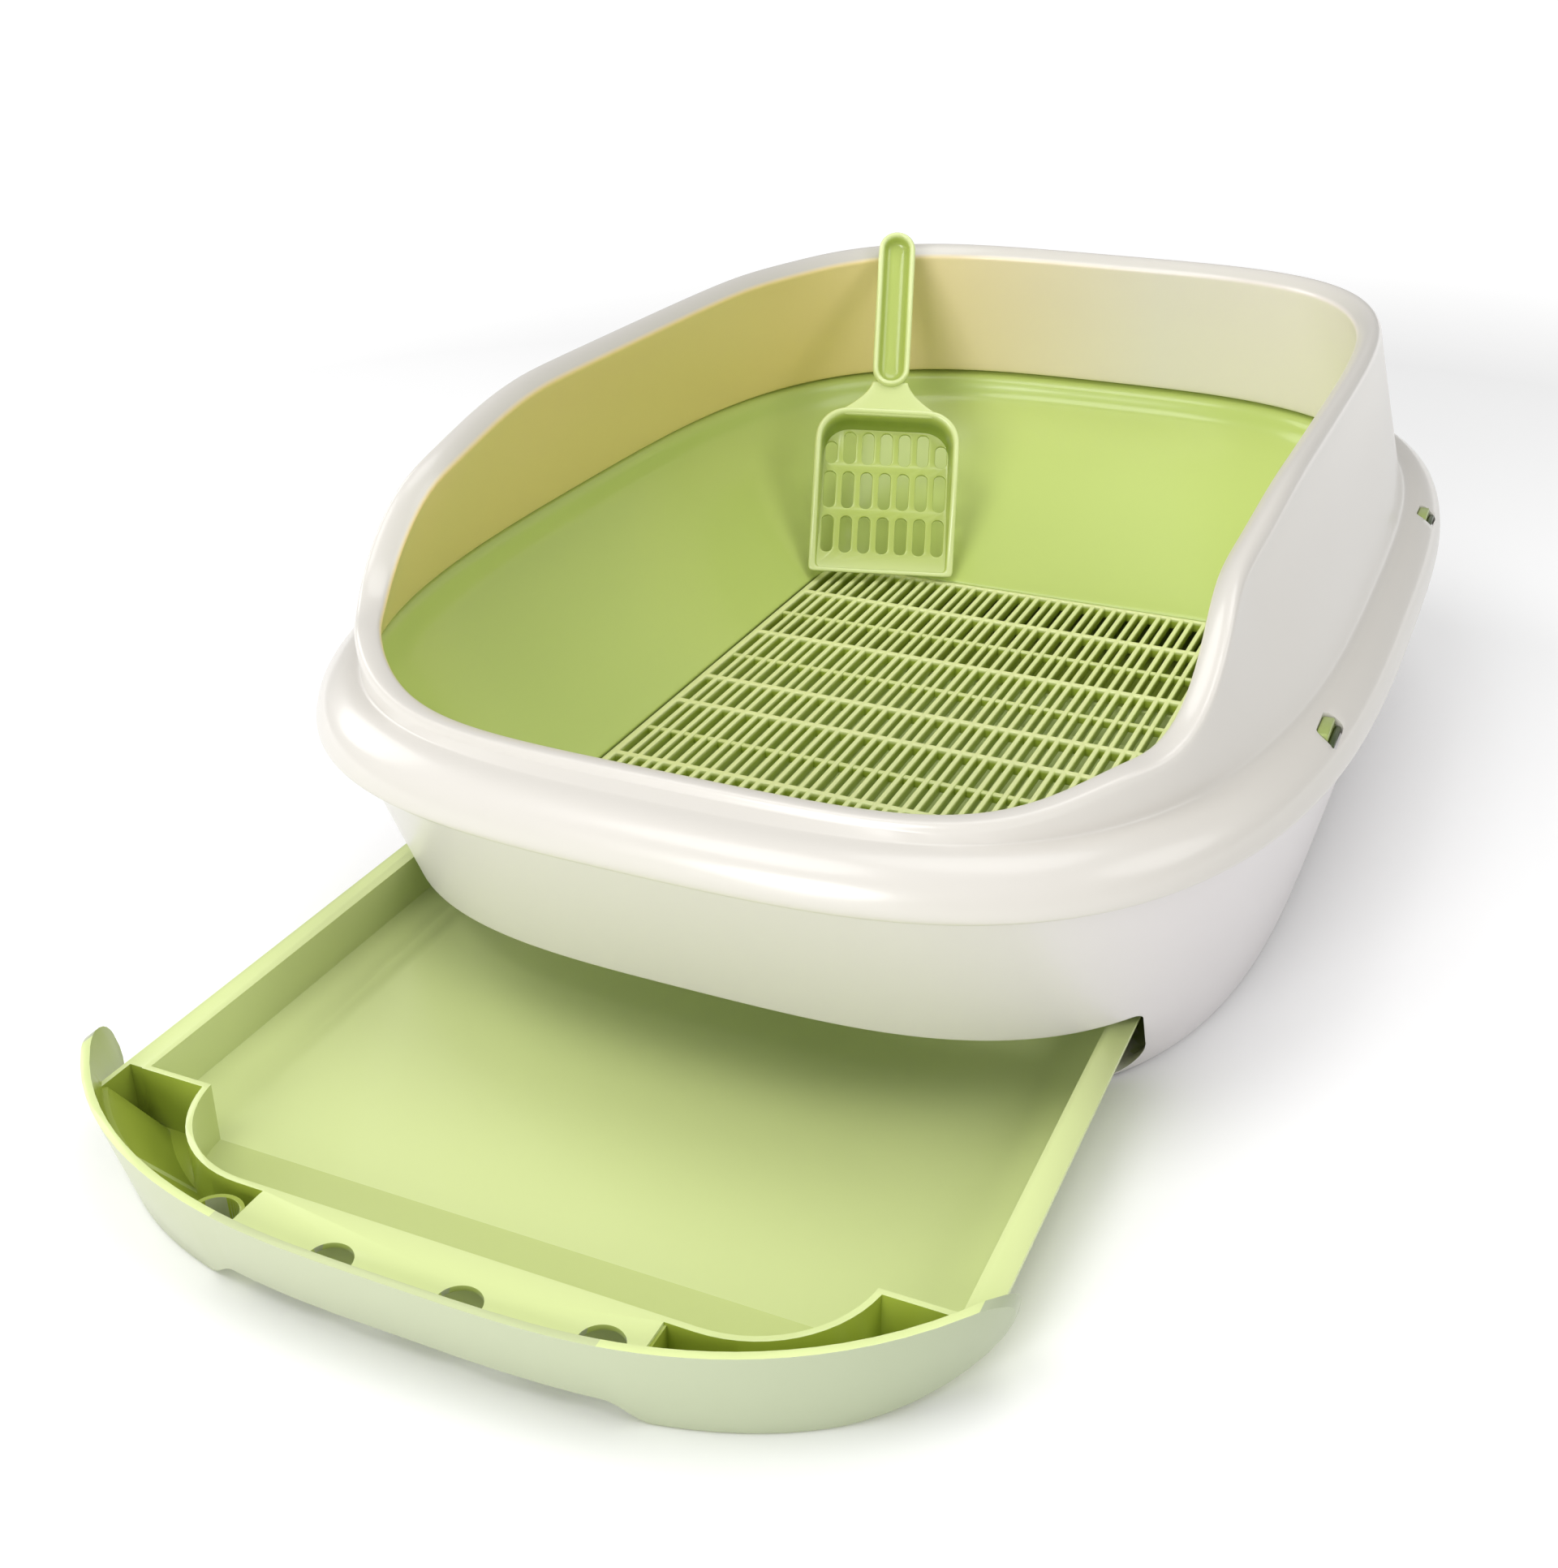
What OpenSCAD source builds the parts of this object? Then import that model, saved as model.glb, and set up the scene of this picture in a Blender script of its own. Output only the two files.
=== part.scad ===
// Drawer litter box: a white base with a pull-out drawer, a green sieve tub that hangs in it,
// a white splash frame that clips over both, and a slotted scoop.
// X runs across the box, +Y to the back, +Z up. The origin is the middle of the base's underside.

/* [Base] */
// Half width of the base at its underside
base_half_w = 181.2; // [165:0.2:220]
// Half length of the base at its underside
base_half_l = 258.2; // [235:0.2:310]
// Height of the base up to the edge that carries the tub
base_h = 118; // [104:1:142]
// Wall thickness of the base
base_wall = 2.6; // [2.2:0.1:3.2]
// Distance from the top edge down to where the wall stops leaning out
flare_drop = 10; // [7:1:14]
// How far the wall leans out at the sides
flare_side = 21; // [17:0.5:25.5]
// How far the wall leans out at the front and back
flare_end = 50; // [42:0.5:60]
// Radius of the bottom corner of the base
foot_r = 4; // [3:0.5:8]

/* [Drawer opening] */
// Distance from the side of the base, at its underside, to the drawer opening
opening_side = 20.9; // [19:0.1:28]
// Clearance of the opening over the drawer rim
opening_over = 5.7; // [4:0.1:7]
// Thickness of the two rails that carry the drawer
rail_t = 2.6; // [2:0.1:3.4]

/* [Drawer] */
// Sideways place of the drawer in the base
drawer_x = -6; // [-6:0.5:0]
// How far the drawer stands open
drawer_out = 165; // [0:1:165]
// Height of the drawer rim
drawer_h = 30; // [25:0.5:36]
// Clearance of the drawer in its opening at each side
drawer_side_gap = 2.3; // [1.8:0.1:6]
// Width of the side flanges
flange_w = 9.5; // [8.5:0.5:12]
// Thickness of the flanges and of the web behind the drawer front
plate_t = 2; // [1.6:0.1:2.6]
// Thickness of the drawer walls
drawer_wall = 2.2; // [1.8:0.1:2.6]
// Distance from the back of the closed drawer to the outline of the base's underside
drawer_back_gap = 53.2; // [48:0.2:80]
// Depth of the narrower front bay of the tray
bay_d = 36; // [28:1:43]
// Distance from the side of the drawer to the narrower front bay
bay_side = 35; // [30:1:44]
// Corner radius of the front bay
bay_r = 42; // [34:1:50]
// Width of the sloped border of the tray floor at the sides
slope_side = 19; // [12:0.5:22]
// Width of the sloped border of the tray floor at the front
slope_front = 36; // [28:0.5:42]
// Height of the sloped border of the tray floor
slope_h = 4; // [2:0.5:14]

/* [Drawer front] */
// Thickness of the curved drawer front
fascia_t = 3; // [2.4:0.1:3.6]
// Height of the middle of the drawer front over the drawer rim
fascia_rise = 5; // [1.5:0.5:6]
// Height of the ears at the ends of the drawer front over the drawer rim
ear_rise = 10; // [8:0.5:14]
// How much wider than the base the curve of the front is at each side
wing = 13; // [8:0.5:14]
// How far the front stands ahead of the curve of the base
face_ahead = 4.5; // [1:0.5:5]
// Sideways place of the curve of the front on the drawer
face_x = -7; // [-12:0.5:0]
// Sideways place of the middle between the two ears on the drawer
ear_x = -6.5; // [-8:0.5:0]
// How far each ear stands out past the drawer's side
ear_out = 11; // [8:0.5:14]
// Height of the finger recess in the lower edge
grip_h = 8; // [5:0.5:11]
// Half width of the finger recess
grip_half_w = 73; // [60:1:80]
// Sideways place of the finger recess
grip_x = -8; // [-12:1:12]
// Half width of the flat web behind the drawer front
web_half_w = 71; // [60:1:80]
// Width of the web from the tray to the outline of the drawer front
web_l = 24.5; // [22:0.5:28]
// Radius of the half-round finger holes in the web
hole_r = 7.5; // [6:0.5:9]
// Distance between the half-round holes
hole_pitch = 45.7; // [40:0.1:48]
// How far the middles of the holes stand behind the drawer front
hole_back = 2.5; // [0:0.5:4]
// How far the drawer front leans out for each mm of height
front_lean = 0.24; // [0.1:0.01:0.3]
// How far the inner skin of its two corners leans out for each mm of height
skin_lean = 0.75; // [0.5:0.01:0.9]
// Distance from the middle of the drawer front to where the inner skins begin
skin_from = 97; // [92:1:110]

/* [Sieve tub] */
// Distance from the base's top edge in to the tub's shoulder at the sides
shoulder_side = 13.9; // [12:0.1:16]
// Distance from the base's top edge in to the tub's shoulder at the front and back
shoulder_end = 19.2; // [18:0.1:23]
// How far the middle of the tub's shoulder lies ahead of the middle of the box
tub_ahead = 11; // [8:0.5:11]
// Clearance between the drawer rim and the slotted floor
drawer_over_gap = 3; // [1.5:0.5:6]
// Thickness of the slotted floor
sieve_t = 4; // [3:0.5:5]
// Wall thickness of the tub
tub_wall = 2.3; // [2:0.1:2.8]
// Least distance from the tub's shoulder to the slots at the sides, seen from above
sieve_side = 69; // [60:1:80]
// Least distance from the tub's shoulder to the slots at the ends, seen from above
sieve_end = 104; // [95:1:120]
// Mean distance between slot columns
slot_pitch = 6.08; // [5:0.02:7.4]
// How much wider the wide slots are than the mean
slot_step = 0.72; // [0:0.02:0.9]
// Width of each slat between two slots
slat_w = 2.3; // [1.9:0.1:2.8]
// Distance between the cross ribs
row_pitch = 31.5; // [26:0.5:38]
// Width of the cross ribs
rib_w = 3.2; // [2.4:0.1:4]
// How far every second pair of cross ribs lies under the top of the slats
rib_drop = 1.4; // [0.8:0.1:2]
// Margin of the floor past the first and last rib rows
end_margin = 10; // [6:0.5:12]
// How far the middle of the slotted floor lies ahead of the middle of the box
sieve_ahead = 34.6; // [28:0.1:38]

/* [Splash frame] */
// How far the skirt stands out past the base's top edge at the sides
skirt_side = 7.3; // [6.8:0.1:12]
// How far the skirt stands out past the base's top edge at the front and back
skirt_end = 11.8; // [10.8:0.1:16]
// How far the skirt reaches down over the base's top edge
skirt_drop = 10.3; // [8:0.1:16]
// Wall thickness of the frame
frame_wall = 2.8; // [2.4:0.1:3.2]
// Height of the rim over the base at the front
rim_front_up = 14; // [13:0.5:24]
// Height of the rim over the base at its front corners
rim_corner_up = 27; // [22:0.5:33]
// Height of the rim over the base at the sides and back
rim_back_up = 78; // [62:0.5:96]
// Distance from the tub's shoulder in to the rim at the sides
rim_side = 31.3; // [24:0.1:38]
// Distance from the tub's shoulder in to the rim at the front and back
rim_end = 18; // [14:0.5:23]
// How far the middle of the rim lies ahead of the middle of the box
rim_ahead = 17.5; // [14:0.5:18]
// Distance from the rim's front over which its low dip rises
dip_l = 46; // [40:1:60]
// Distance from the rim's front to where it starts to rise steeply
rise_from = 66.5; // [60:0.5:80]
// Length over which the rim rises to its full height
rise_l = 76; // [60:1:95]
// Width of the lip at the low front
lip_front_w = 8; // [5:0.5:9]
// Width of the lip at the high back
lip_back_w = 3.6; // [3:0.1:6]

/* [Clips] */
// Length of the four clip slots
clip_slot_l = 18; // [14:1:22]
// Width of the four clip slots
clip_slot_w = 11; // [9:0.5:12]
// Distance from the front of the skirt to the front pair of clips
clip_front = 174; // [150:1:200]
// Distance from the back of the skirt to the back pair of clips
clip_back = 208; // [180:1:230]
// Clearance round each clip in its slot
clip_gap = 1.2; // [0.8:0.1:2]

/* [Scoop] */
// Width of the scoop's blade
scoop_w = 81; // [72:1:84]
// Length of the scoop's blade
scoop_l = 92; // [85:1:100]
// Depth of the scoop's side walls
scoop_d = 15; // [12:0.5:18]
// Wall thickness of the scoop
scoop_t = 2.2; // [1.8:0.1:2.6]
// Length of the handle
handle_l = 106; // [85:1:108]
// Width of the handle
handle_w = 21; // [18:0.5:24]
// Level distance from the back of the rim's edge to the plane of the blade's back
handle_rest = 9.3; // [8.5:0.1:9.3]
// Tilt of the scoop in the plane of its blade
scoop_tilt = 2.6; // [2:0.1:3]
// Turn of the scoop to one side
scoop_turn = 22.8; // [21:0.1:23]
// Distance from the side of the slotted floor to the middle of the blade's edge
scoop_side = 32.6; // [32:0.1:40]
// Distance from the back of the slotted floor to the middle of the blade's edge
scoop_back = 11.7; // [11.5:0.1:20]
// Height of the middle of the blade's edge over the slotted floor
scoop_up = 3.2; // [3.2:0.1:8]

/* [Fit] */
// Running gap between seated pieces
seat_gap = 0.3; // [0.2:0.05:0.4]

/* [Hidden] */
$fn = 64;

// Curve settings of the plan outlines: a superellipse, with more points in its corners.
RING_N = 88;
WARP = 5.2;
BASE_POWER = 3.5;
FACE_POWER = 3.1;
TOP_POWER = 3.2;
FLOOR_POWER = 22;
RIM_POWER = 4;

// Base and seats of the tub and the frame.
flare_h = base_h - flare_drop;
top_half_w = base_half_w + flare_side;
top_half_l = base_half_l + flare_end;
flange_z = base_h + seat_gap;
flange_t = 2.5;
shoulder_z = flange_z + flange_t + 3;
frame_seat_z = shoulder_z + seat_gap;
sill_z = base_wall + 0.6;

// Drawer, its opening and its rails.
opening_half_w = base_half_w - opening_side;
opening_top = drawer_h + opening_over;
drawer_half_w = opening_half_w - drawer_side_gap;
drawer_back = base_half_l - drawer_back_gap;
bay_half_w = drawer_half_w - bay_side;
rail_h = drawer_h - plate_t - seat_gap;

// The drawer front follows the plan of the base at the height of its ears, a little wider.
fascia_h = drawer_h + fascia_rise;
ear_h = drawer_h + ear_rise;
ear_half_w = drawer_half_w + ear_out;
face_k = ear_h / flare_h;
face_w = base_half_w + flare_side * face_k + wing;
face_l = base_half_l + flare_end * face_k + face_ahead;

// Tub: an odd number of slot columns and rows that fits between the margins.
tub_half_w = top_half_w - shoulder_side;
tub_half_l = top_half_l - shoulder_end;
sieve_z = drawer_h + drawer_over_gap + sieve_t;
slot_cols = 2 * floor(((tub_half_w - sieve_side) * 2 / slot_pitch - 1) / 2) + 1;
slot_rows = 2 * floor((((tub_half_l - sieve_end - end_margin) * 2) / row_pitch - 1) / 2) + 1;
sieve_w = slot_cols * slot_pitch;
sieve_l = slot_rows * row_pitch + 2 * end_margin;

// Splash frame.
skirt_half_w = top_half_w + skirt_side;
skirt_half_l = top_half_l + skirt_end;
skirt_z = base_h - skirt_drop;
rim_front_z = base_h + rim_front_up;
rim_corner_z = base_h + rim_corner_up;
rim_back_z = base_h + rim_back_up;
rim_half_w = tub_half_w - rim_side;
rim_half_l = tub_half_l - rim_end;
rim_front_y = -rim_half_l - rim_ahead;
rise_start = rim_front_y + rise_from;
rise_end = rise_start + rise_l;
clip_front_y = clip_front - skirt_half_l;
clip_back_y = skirt_half_l - clip_back;

// The scoop stands in the back corner of the slotted floor and leans on the rim.
scoop_x = scoop_side - sieve_w / 2;
scoop_y = sieve_l / 2 - sieve_ahead - scoop_back;
scoop_run = run_to_rim(0, rim_half_l, 30) + handle_rest;
scoop_lean = atan(scoop_run / (rim_back_z - sieve_z - scoop_up));

// ---------- plan outlines and lofts ----------

function turn_of(i) = 360 * i / RING_N;
function warped(t) = t + WARP * sin(4 * t);
function reach(t, p) = pow(pow(abs(cos(t)), p) + pow(abs(sin(t)), p), -1 / p);
function oval(i, a, b, p, yc) =
    let (t = warped(turn_of(i)), r = reach(t, p))
    [a * r * cos(t), yc + b * r * sin(t)];
function ring(a, b, z, p = TOP_POWER, yc = 0) =
    [for (i = [0 : RING_N - 1]) let (q = oval(i, a, b, p, yc)) [q[0], q[1], z]];
function mix(u, v, t) = u * (1 - t) + v * t;
function mix_rings(u, v, t) = [for (i = [0 : RING_N - 1]) mix(u[i], v[i], t)];
function ease(t) = let (c = min(1, max(0, t))) c * c * (3 - 2 * c);

function side_faces(n_rings, closed) =
    [for (j = [0 : n_rings - (closed ? 1 : 2)], i = [0 : RING_N - 1])
        let (k = (i + 1) % RING_N, up = (j + 1) % n_rings)
        [j * RING_N + i, up * RING_N + i, up * RING_N + k, j * RING_N + k]];

// A wall whose section closes on itself, such as a rim or a frame.
module loft_loop(rings) {
    polyhedron([for (r = rings) each r], side_faces(len(rings), true), convexity = 10);
}

// A bowl: the section runs up the outside, over the edge and down to the inner floor.
module loft_bowl(rings) {
    last = (len(rings) - 1) * RING_N;
    under = len(rings) * RING_N;
    polyhedron(
        concat([for (r = rings) each r], [middle(rings[0]), middle(rings[len(rings) - 1])]),
        concat(side_faces(len(rings), false),
            [for (i = [0 : RING_N - 1]) [i, (i + 1) % RING_N, under]],
            [for (i = [0 : RING_N - 1]) [last + (i + 1) % RING_N, last + i, under + 1]]),
        convexity = 10);
}

function middle(r) = (r[0] + r[RING_N / 2]) / 2;

// Width of a superellipse plan at a place along the box.
function half_width_at(y, a, b, p) = a * pow(1 - pow(min(1, abs(y) / b), p), 1 / p);
function front_at(x, a, b, p) = -b * pow(1 - pow(min(1, abs(x) / a), p), 1 / p);

// ---------- base ----------

function base_ring(z, inset) =
    let (k = min(1, z / flare_h))
    ring(base_half_w + flare_side * k - inset, base_half_l + flare_end * k - inset, z,
        mix(BASE_POWER, TOP_POWER, k));

foot_steps = [0, 30, 60, 90];
wall_heights = [0.15 * flare_h, 0.4 * flare_h, 0.7 * flare_h, flare_h, base_h];

base_rings = concat(
    [for (s = foot_steps) base_ring(foot_r * (1 - cos(s)), foot_r * (1 - sin(s)))],
    [for (z = wall_heights) base_ring(z, 0)],
    [for (i = [len(wall_heights) - 1 : -1 : 0]) base_ring(wall_heights[i], base_wall)],
    [base_ring(base_wall, base_wall)]);

// Front view of the drawer front: flat middle, raised ears and rounded lower ends.
fascia_low = 0.6;
ear_tip_r = 9;
ear_slope_l = 116;
ear_tip_x = ear_half_w - ear_tip_r;

function fascia_top(x) = mix(ear_h, fascia_h, ease((ear_tip_x - abs(x - ear_x)) / ear_slope_l));

module fascia_view() {
    low_w = 46;
    low_rise = ear_h - ear_tip_r - 2;
    x_low = ear_half_w - low_w;
    right = concat(
        [for (t = [0 : 10 : 90]) [x_low + low_w * sin(t), fascia_low + low_rise * (1 - cos(t))]],
        [for (t = [0 : 15 : 90]) [ear_tip_x + ear_tip_r * cos(t), ear_h - ear_tip_r * (1 - sin(t))]],
        [for (t = [0.1 : 0.1 : 1]) let (x = ear_tip_x - ear_slope_l * t) [x, fascia_top(ear_x + x)]]);
    translate([ear_x, 0])
        polygon(concat(right, [for (i = [len(right) - 1 : -1 : 0]) [-right[i][0], right[i][1]]]));
}

// A bar of four edges, each a row of points along the drawer front.
module bar_of(rows) {
    n = len(rows[0]);
    polyhedron(
        [for (r = rows) each r],
        concat(
            [for (r = [0 : 3], i = [0 : n - 2])
                let (u = (r + 1) % 4) [r * n + i, u * n + i, u * n + i + 1, r * n + i + 1]],
            [[0, 3 * n, 2 * n, n], [n - 1, 2 * n - 1, 3 * n - 1, 4 * n - 1]]),
        convexity = 10);
}

// A row of points along the drawer front, at a depth behind its top edge.
function front_row(depth, half_w, z, steps = 26) =
    [for (i = [-steps : steps]) inside_face(ear_x + half_w * i / steps, depth + lean_at(z), z)];

// A band that follows the drawer front, leaning back towards its foot.
module leaning_band(near, far, half_w, z_low, z_high) {
    bar_of([for (r = [[near, z_low], [near, z_high], [far, z_high], [far, z_low]])
        front_row(r[0], half_w, r[1])]);
}

// All the room behind the drawer front, up to the middle of its wall.
module room_behind_front(z_low, z_high) {
    half_w = ear_half_w + 10;
    low = front_row(-seat_gap - fascia_lap, half_w, z_low);
    high = front_row(-seat_gap - fascia_lap, half_w, z_high);
    far_y = drawer_back + 10;
    bar_of([low, high, [for (q = high) [q[0], far_y, z_high]], [for (q = low) [q[0], far_y, z_low]]]);
}

function lean_at(z) = front_lean * (ear_h - z);
function face_point(x) = [x, front_at(x - face_x, face_w, face_l, FACE_POWER)];

// A point at a depth square to the curve of the drawer front.
function inside_face(x, depth, z) = let (q = shifted(face_point(x), depth)) [q[0], q[1], z];

// A point of the front outline moved square to it, inward for a positive depth.
function shifted(q, depth) =
    let (
        x = q[0] - face_x,
        n = [pow(abs(x) / face_w, FACE_POWER - 1) / face_w * sign(x),
             -pow(abs(q[1]) / face_l, FACE_POWER - 1) / face_l],
        u = n / norm(n)
    )
    q - u * depth;

module drawer_opening() {
    corner = 12;
    x = opening_half_w - corner;
    right = concat(
        [for (t = [0 : 15 : 90]) [x + corner * sin(t), sill_z + corner * (1 - cos(t))]],
        [[opening_half_w, opening_top]]);
    rotate([90, 0, 0])
        translate([drawer_x, 0, 120])
            linear_extrude(300)
                polygon(concat(right, [for (i = [len(right) - 1 : -1 : 0]) [-right[i][0], right[i][1]]]));
}

module base() {
    rail_x = drawer_half_w - 3.6;
    rail_l = 2 * half_width_at(rail_x + abs(drawer_x), base_half_l, base_half_w, BASE_POWER) - 26;
    color("#e9e7e3") {
        difference() {
            loft_bowl(base_rings);
            drawer_opening();
        }
        for (s = [-1, 1])
            translate([drawer_x + s * rail_x - rail_t / 2, -rail_l / 2, base_wall - 0.5])
                cube([rail_t, rail_l, rail_h - base_wall + 0.5]);
    }
}

// ---------- sieve tub ----------

// The inner face of the tub from the slotted floor (0) up to the shoulder (1).
function tub_ring(t, inset, drop) =
    let (
        low_w = sieve_w / 2 + 3,
        low_l = sieve_l / 2 + 3,
        high_w = tub_half_w - 3.5,
        high_l = tub_half_l - 5,
        yc = mix(-sieve_ahead, -tub_ahead, t),
        p = 1 / mix(1 / FLOOR_POWER, 1 / TOP_POWER, pow(t, 0.6))
    )
    ring(mix(low_w, high_w, t) + inset, mix(low_l, high_l, t) + inset,
        mix(sieve_z, base_h - 8, pow(t, 1.2)) - drop, p, yc);

tub_steps = [0, 0.12, 0.3, 0.5, 0.7, 0.86, 0.95, 1];

tub_rings = concat(
    [for (t = tub_steps) tub_ring(t, tub_wall * 0.8, t == 0 ? sieve_t : tub_wall * 0.8)],
    [seam_ring(-1.6, base_h - 4),
     seam_ring(0.8, flange_z),
     skirt_ring(7.8, flange_z),
     skirt_ring(7.8, flange_z + flange_t),
     skirt_ring(13, shoulder_z - 0.9),
     skirt_ring(14.5, shoulder_z),
     seam_ring(-0.6, shoulder_z),
     seam_ring(-2.2, base_h - 3)],
    [for (i = [len(tub_steps) - 1 : -1 : 0]) tub_ring(tub_steps[i], 0, 0)]);

// Centre of a slot column: wide and narrow slots alternate about the middle one.
function slot_x(c) = c * slot_pitch;
function slot_half(c) = (slot_pitch - slat_w + (c % 2 == 0 ? -slot_step : slot_step)) / 2;

module slot_plan() {
    half = (slot_cols - 1) / 2;
    difference() {
        translate([-sieve_w / 2 - 2.5, -sieve_l / 2 - 2.5])
            square([sieve_w + 5, sieve_l + 5]);
        for (c = [-half : half], r = [0 : slot_rows - 1])
            if (!is_low(r))
                translate([slot_x(c) - slot_half(c), row_y(r)])
                    square([2 * slot_half(c), row_end(next_high(r + 1) - 1) - row_y(r)]);
    }
}

// Cross rib k lies between rows k - 1 and k. Every second pair lies lower, under the slats.
function rib_y(k) = (k - slot_rows / 2) * row_pitch;
function is_low(k) = k > 0 && k < slot_rows && (abs(k - slot_rows / 2) - 0.5) % 2 == 1;
function next_high(k) = k < slot_rows && is_low(k) ? next_high(k + 1) : k;
function row_y(r) = r == 0 ? -sieve_l / 2 : rib_y(r) + rib_w / 2;
function row_end(r) = r == slot_rows - 1 ? sieve_l / 2 : rib_y(r + 1) - rib_w / 2;

module sieve_floor() {
    low_l = sieve_w + 1.6;
    translate([0, -sieve_ahead, sieve_z - sieve_t + 0.2])
        linear_extrude(sieve_t - 0.4)
            slot_plan();
    for (k = [1 : slot_rows - 1])
        if (is_low(k))
            translate([-low_l / 2, rib_y(k) - rib_w / 2 - sieve_ahead, sieve_z - sieve_t + 0.5])
                cube([low_l, rib_w, sieve_t - 0.7 - rib_drop]);
}

// How far the middle of each clip slot lies inside the skirt's outline.
clip_inset = clip_slot_w / 2 + 1.5;

module clip_tongue(s, y) {
    edge = half_width_at(y, skirt_half_w, skirt_half_l, TOP_POWER);
    w = 5;
    l = clip_slot_l - 2 * clip_gap;
    x = edge - clip_inset - clip_slot_w / 2 + clip_gap + w / 2;
    translate([s * x - w / 2, y - l / 2, flange_z + 0.4])
        cube([w, l, 5.6]);
}

module sieve_tub() {
    color("#b5cb68") {
        difference() {
            loft_bowl(tub_rings);
            translate([-sieve_w / 2 - 2, -sieve_ahead - sieve_l / 2 - 2, sieve_z - sieve_t - 5])
                cube([sieve_w + 4, sieve_l + 4, sieve_t + 10]);
        }
        sieve_floor();
        for (s = [-1, 1], y = [clip_front_y, clip_back_y])
            clip_tongue(s, y);
    }
}

// ---------- splash frame ----------

function rim_height(y) =
    mix(rim_front_z, rim_corner_z, ease((y - rim_front_y) / dip_l))
    + (rim_back_z - rim_corner_z) * ease((y - rise_start) / (rise_end - rise_start));
function lip_width(y) = mix(lip_front_w, lip_back_w, ease((y - rise_start) / (rise_end - rise_start)));

// A rim ring, set out from the inside edge by a share of the lip and up by a step.
function rim_ring(share, up) =
    [for (i = [0 : RING_N - 1])
        let (
            q = oval(i, rim_half_w, rim_half_l, RIM_POWER, -rim_ahead),
            w = lip_width(q[1]) * share,
            o = oval(i, rim_half_w + w, rim_half_l + w, RIM_POWER, -rim_ahead)
        )
        [o[0], o[1], rim_height(q[1]) + up]];

function skirt_ring(inset, z) = ring(skirt_half_w - inset, skirt_half_l - inset, z);
function seam_ring(out, z) = ring(tub_half_w + out, tub_half_l + out, z, TOP_POWER, -tub_ahead);

crease = seam_ring(frame_wall + 0.2, frame_seat_z + 2.9);
lip_outer = rim_ring(1, -2.4);
lip_inner = rim_ring(0, -1.2);
seam_in = seam_ring(0, frame_seat_z);

// Outer bead from the skirt's lower edge up to the crease, as inset and height over the edge.
bead = [[0, 0], [0.3, 4], [1.5, 8.5], [3.4, 12], [6, 14.6], [9.5, 17.2], [13.5, 18.6]];
// Inner side of the same bead.
bead_inner = [[14.5, 16.4], [10, 14.9], [7.6, 13.4], [5.6, 11], [4.2, 8], [3.1, 4], [2.8, 0]];

frame_rings = concat(
    [for (q = bead) skirt_ring(q[0], skirt_z + q[1])],
    [crease],
    [for (t = [0.12, 0.35, 0.65, 0.9]) mix_rings(crease, lip_outer, t)],
    [lip_outer,
     rim_ring(0.8, -0.3),
     rim_ring(0.5, 0.6),
     rim_ring(0.2, 0.1),
     lip_inner],
    [for (t = [0.12, 0.5, 0.85]) mix_rings(lip_inner, seam_in, t)],
    [seam_in, seam_ring(1.2, frame_seat_z)],
    [for (q = bead_inner) skirt_ring(q[0], skirt_z + q[1])]);

module clip_slot(s, y) {
    edge = half_width_at(y, skirt_half_w, skirt_half_l, TOP_POWER);
    translate([s * (edge - clip_inset) - clip_slot_w / 2, y - clip_slot_l / 2, skirt_z + 5.2])
        cube([clip_slot_w, clip_slot_l, 22]);
}

module splash_frame() {
    color("#edebe7")
        difference() {
            loft_loop(frame_rings);
            for (s = [-1, 1], y = [clip_front_y, clip_back_y])
                clip_slot(s, y);
        }
}

// ---------- drawer (drawn closed, then moved out) ----------

tray_half_w = drawer_half_w - flange_w;
tray_floor_z = 4.3;
tray_shoulder = bay_d + web_l - face_l;
fascia_lap = 0.4;

// Plan of the tray's inside: a wide body and a narrower front bay with round corners.
module tray_plan(grow) {
    back_r = 24;
    offset(delta = grow)
        union() {
            translate([-tray_half_w, tray_shoulder])
                square([2 * tray_half_w, drawer_back - back_r - tray_shoulder]);
            translate([-tray_half_w + back_r, drawer_back - back_r - 1])
                square([2 * (tray_half_w - back_r), back_r + 1]);
            for (s = [-1, 1])
                translate([s * (tray_half_w - back_r), drawer_back - back_r])
                    circle(back_r);
            translate([-bay_half_w, tray_shoulder - bay_d + bay_r])
                square([2 * bay_half_w, bay_r]);
            translate([-bay_half_w + bay_r, tray_shoulder - bay_d])
                square([2 * (bay_half_w - bay_r), bay_r + 1]);
            for (s = [-1, 1])
                translate([s * (bay_half_w - bay_r), tray_shoulder - bay_d + bay_r])
                    circle(bay_r);
        }
}

// Section across the tray, with its sloped borders.
module tray_section(grow) {
    z0 = tray_floor_z + drawer_wall - grow;
    w = tray_half_w + grow;
    polygon([
        [-w + slope_side, z0], [w - slope_side, z0],
        [w, z0 + slope_h], [w, drawer_h + 5],
        [-w, drawer_h + 5], [-w, z0 + slope_h]
    ]);
}

// Section along the tray, with the long slope at the front.
module tray_long_section(grow) {
    z0 = tray_floor_z + drawer_wall - grow;
    y0 = tray_shoulder - bay_d - grow;
    y1 = drawer_back + grow;
    polygon([
        [y0 + slope_front, z0], [y1 - slope_side, z0],
        [y1, z0 + slope_h], [y1, drawer_h + 5],
        [y0, drawer_h + 5], [y0, z0 + slope_h]
    ]);
}

module tray_solid(grow, z_top) {
    intersection() {
        linear_extrude(z_top)
            tray_plan(grow);
        translate([0, 400, 0])
            rotate([90, 0, 0])
                linear_extrude(800)
                    tray_section(grow);
        translate([-200, 0, 0])
            rotate([90, 0, 90])
                linear_extrude(400)
                    tray_long_section(grow);
    }
}

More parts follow.
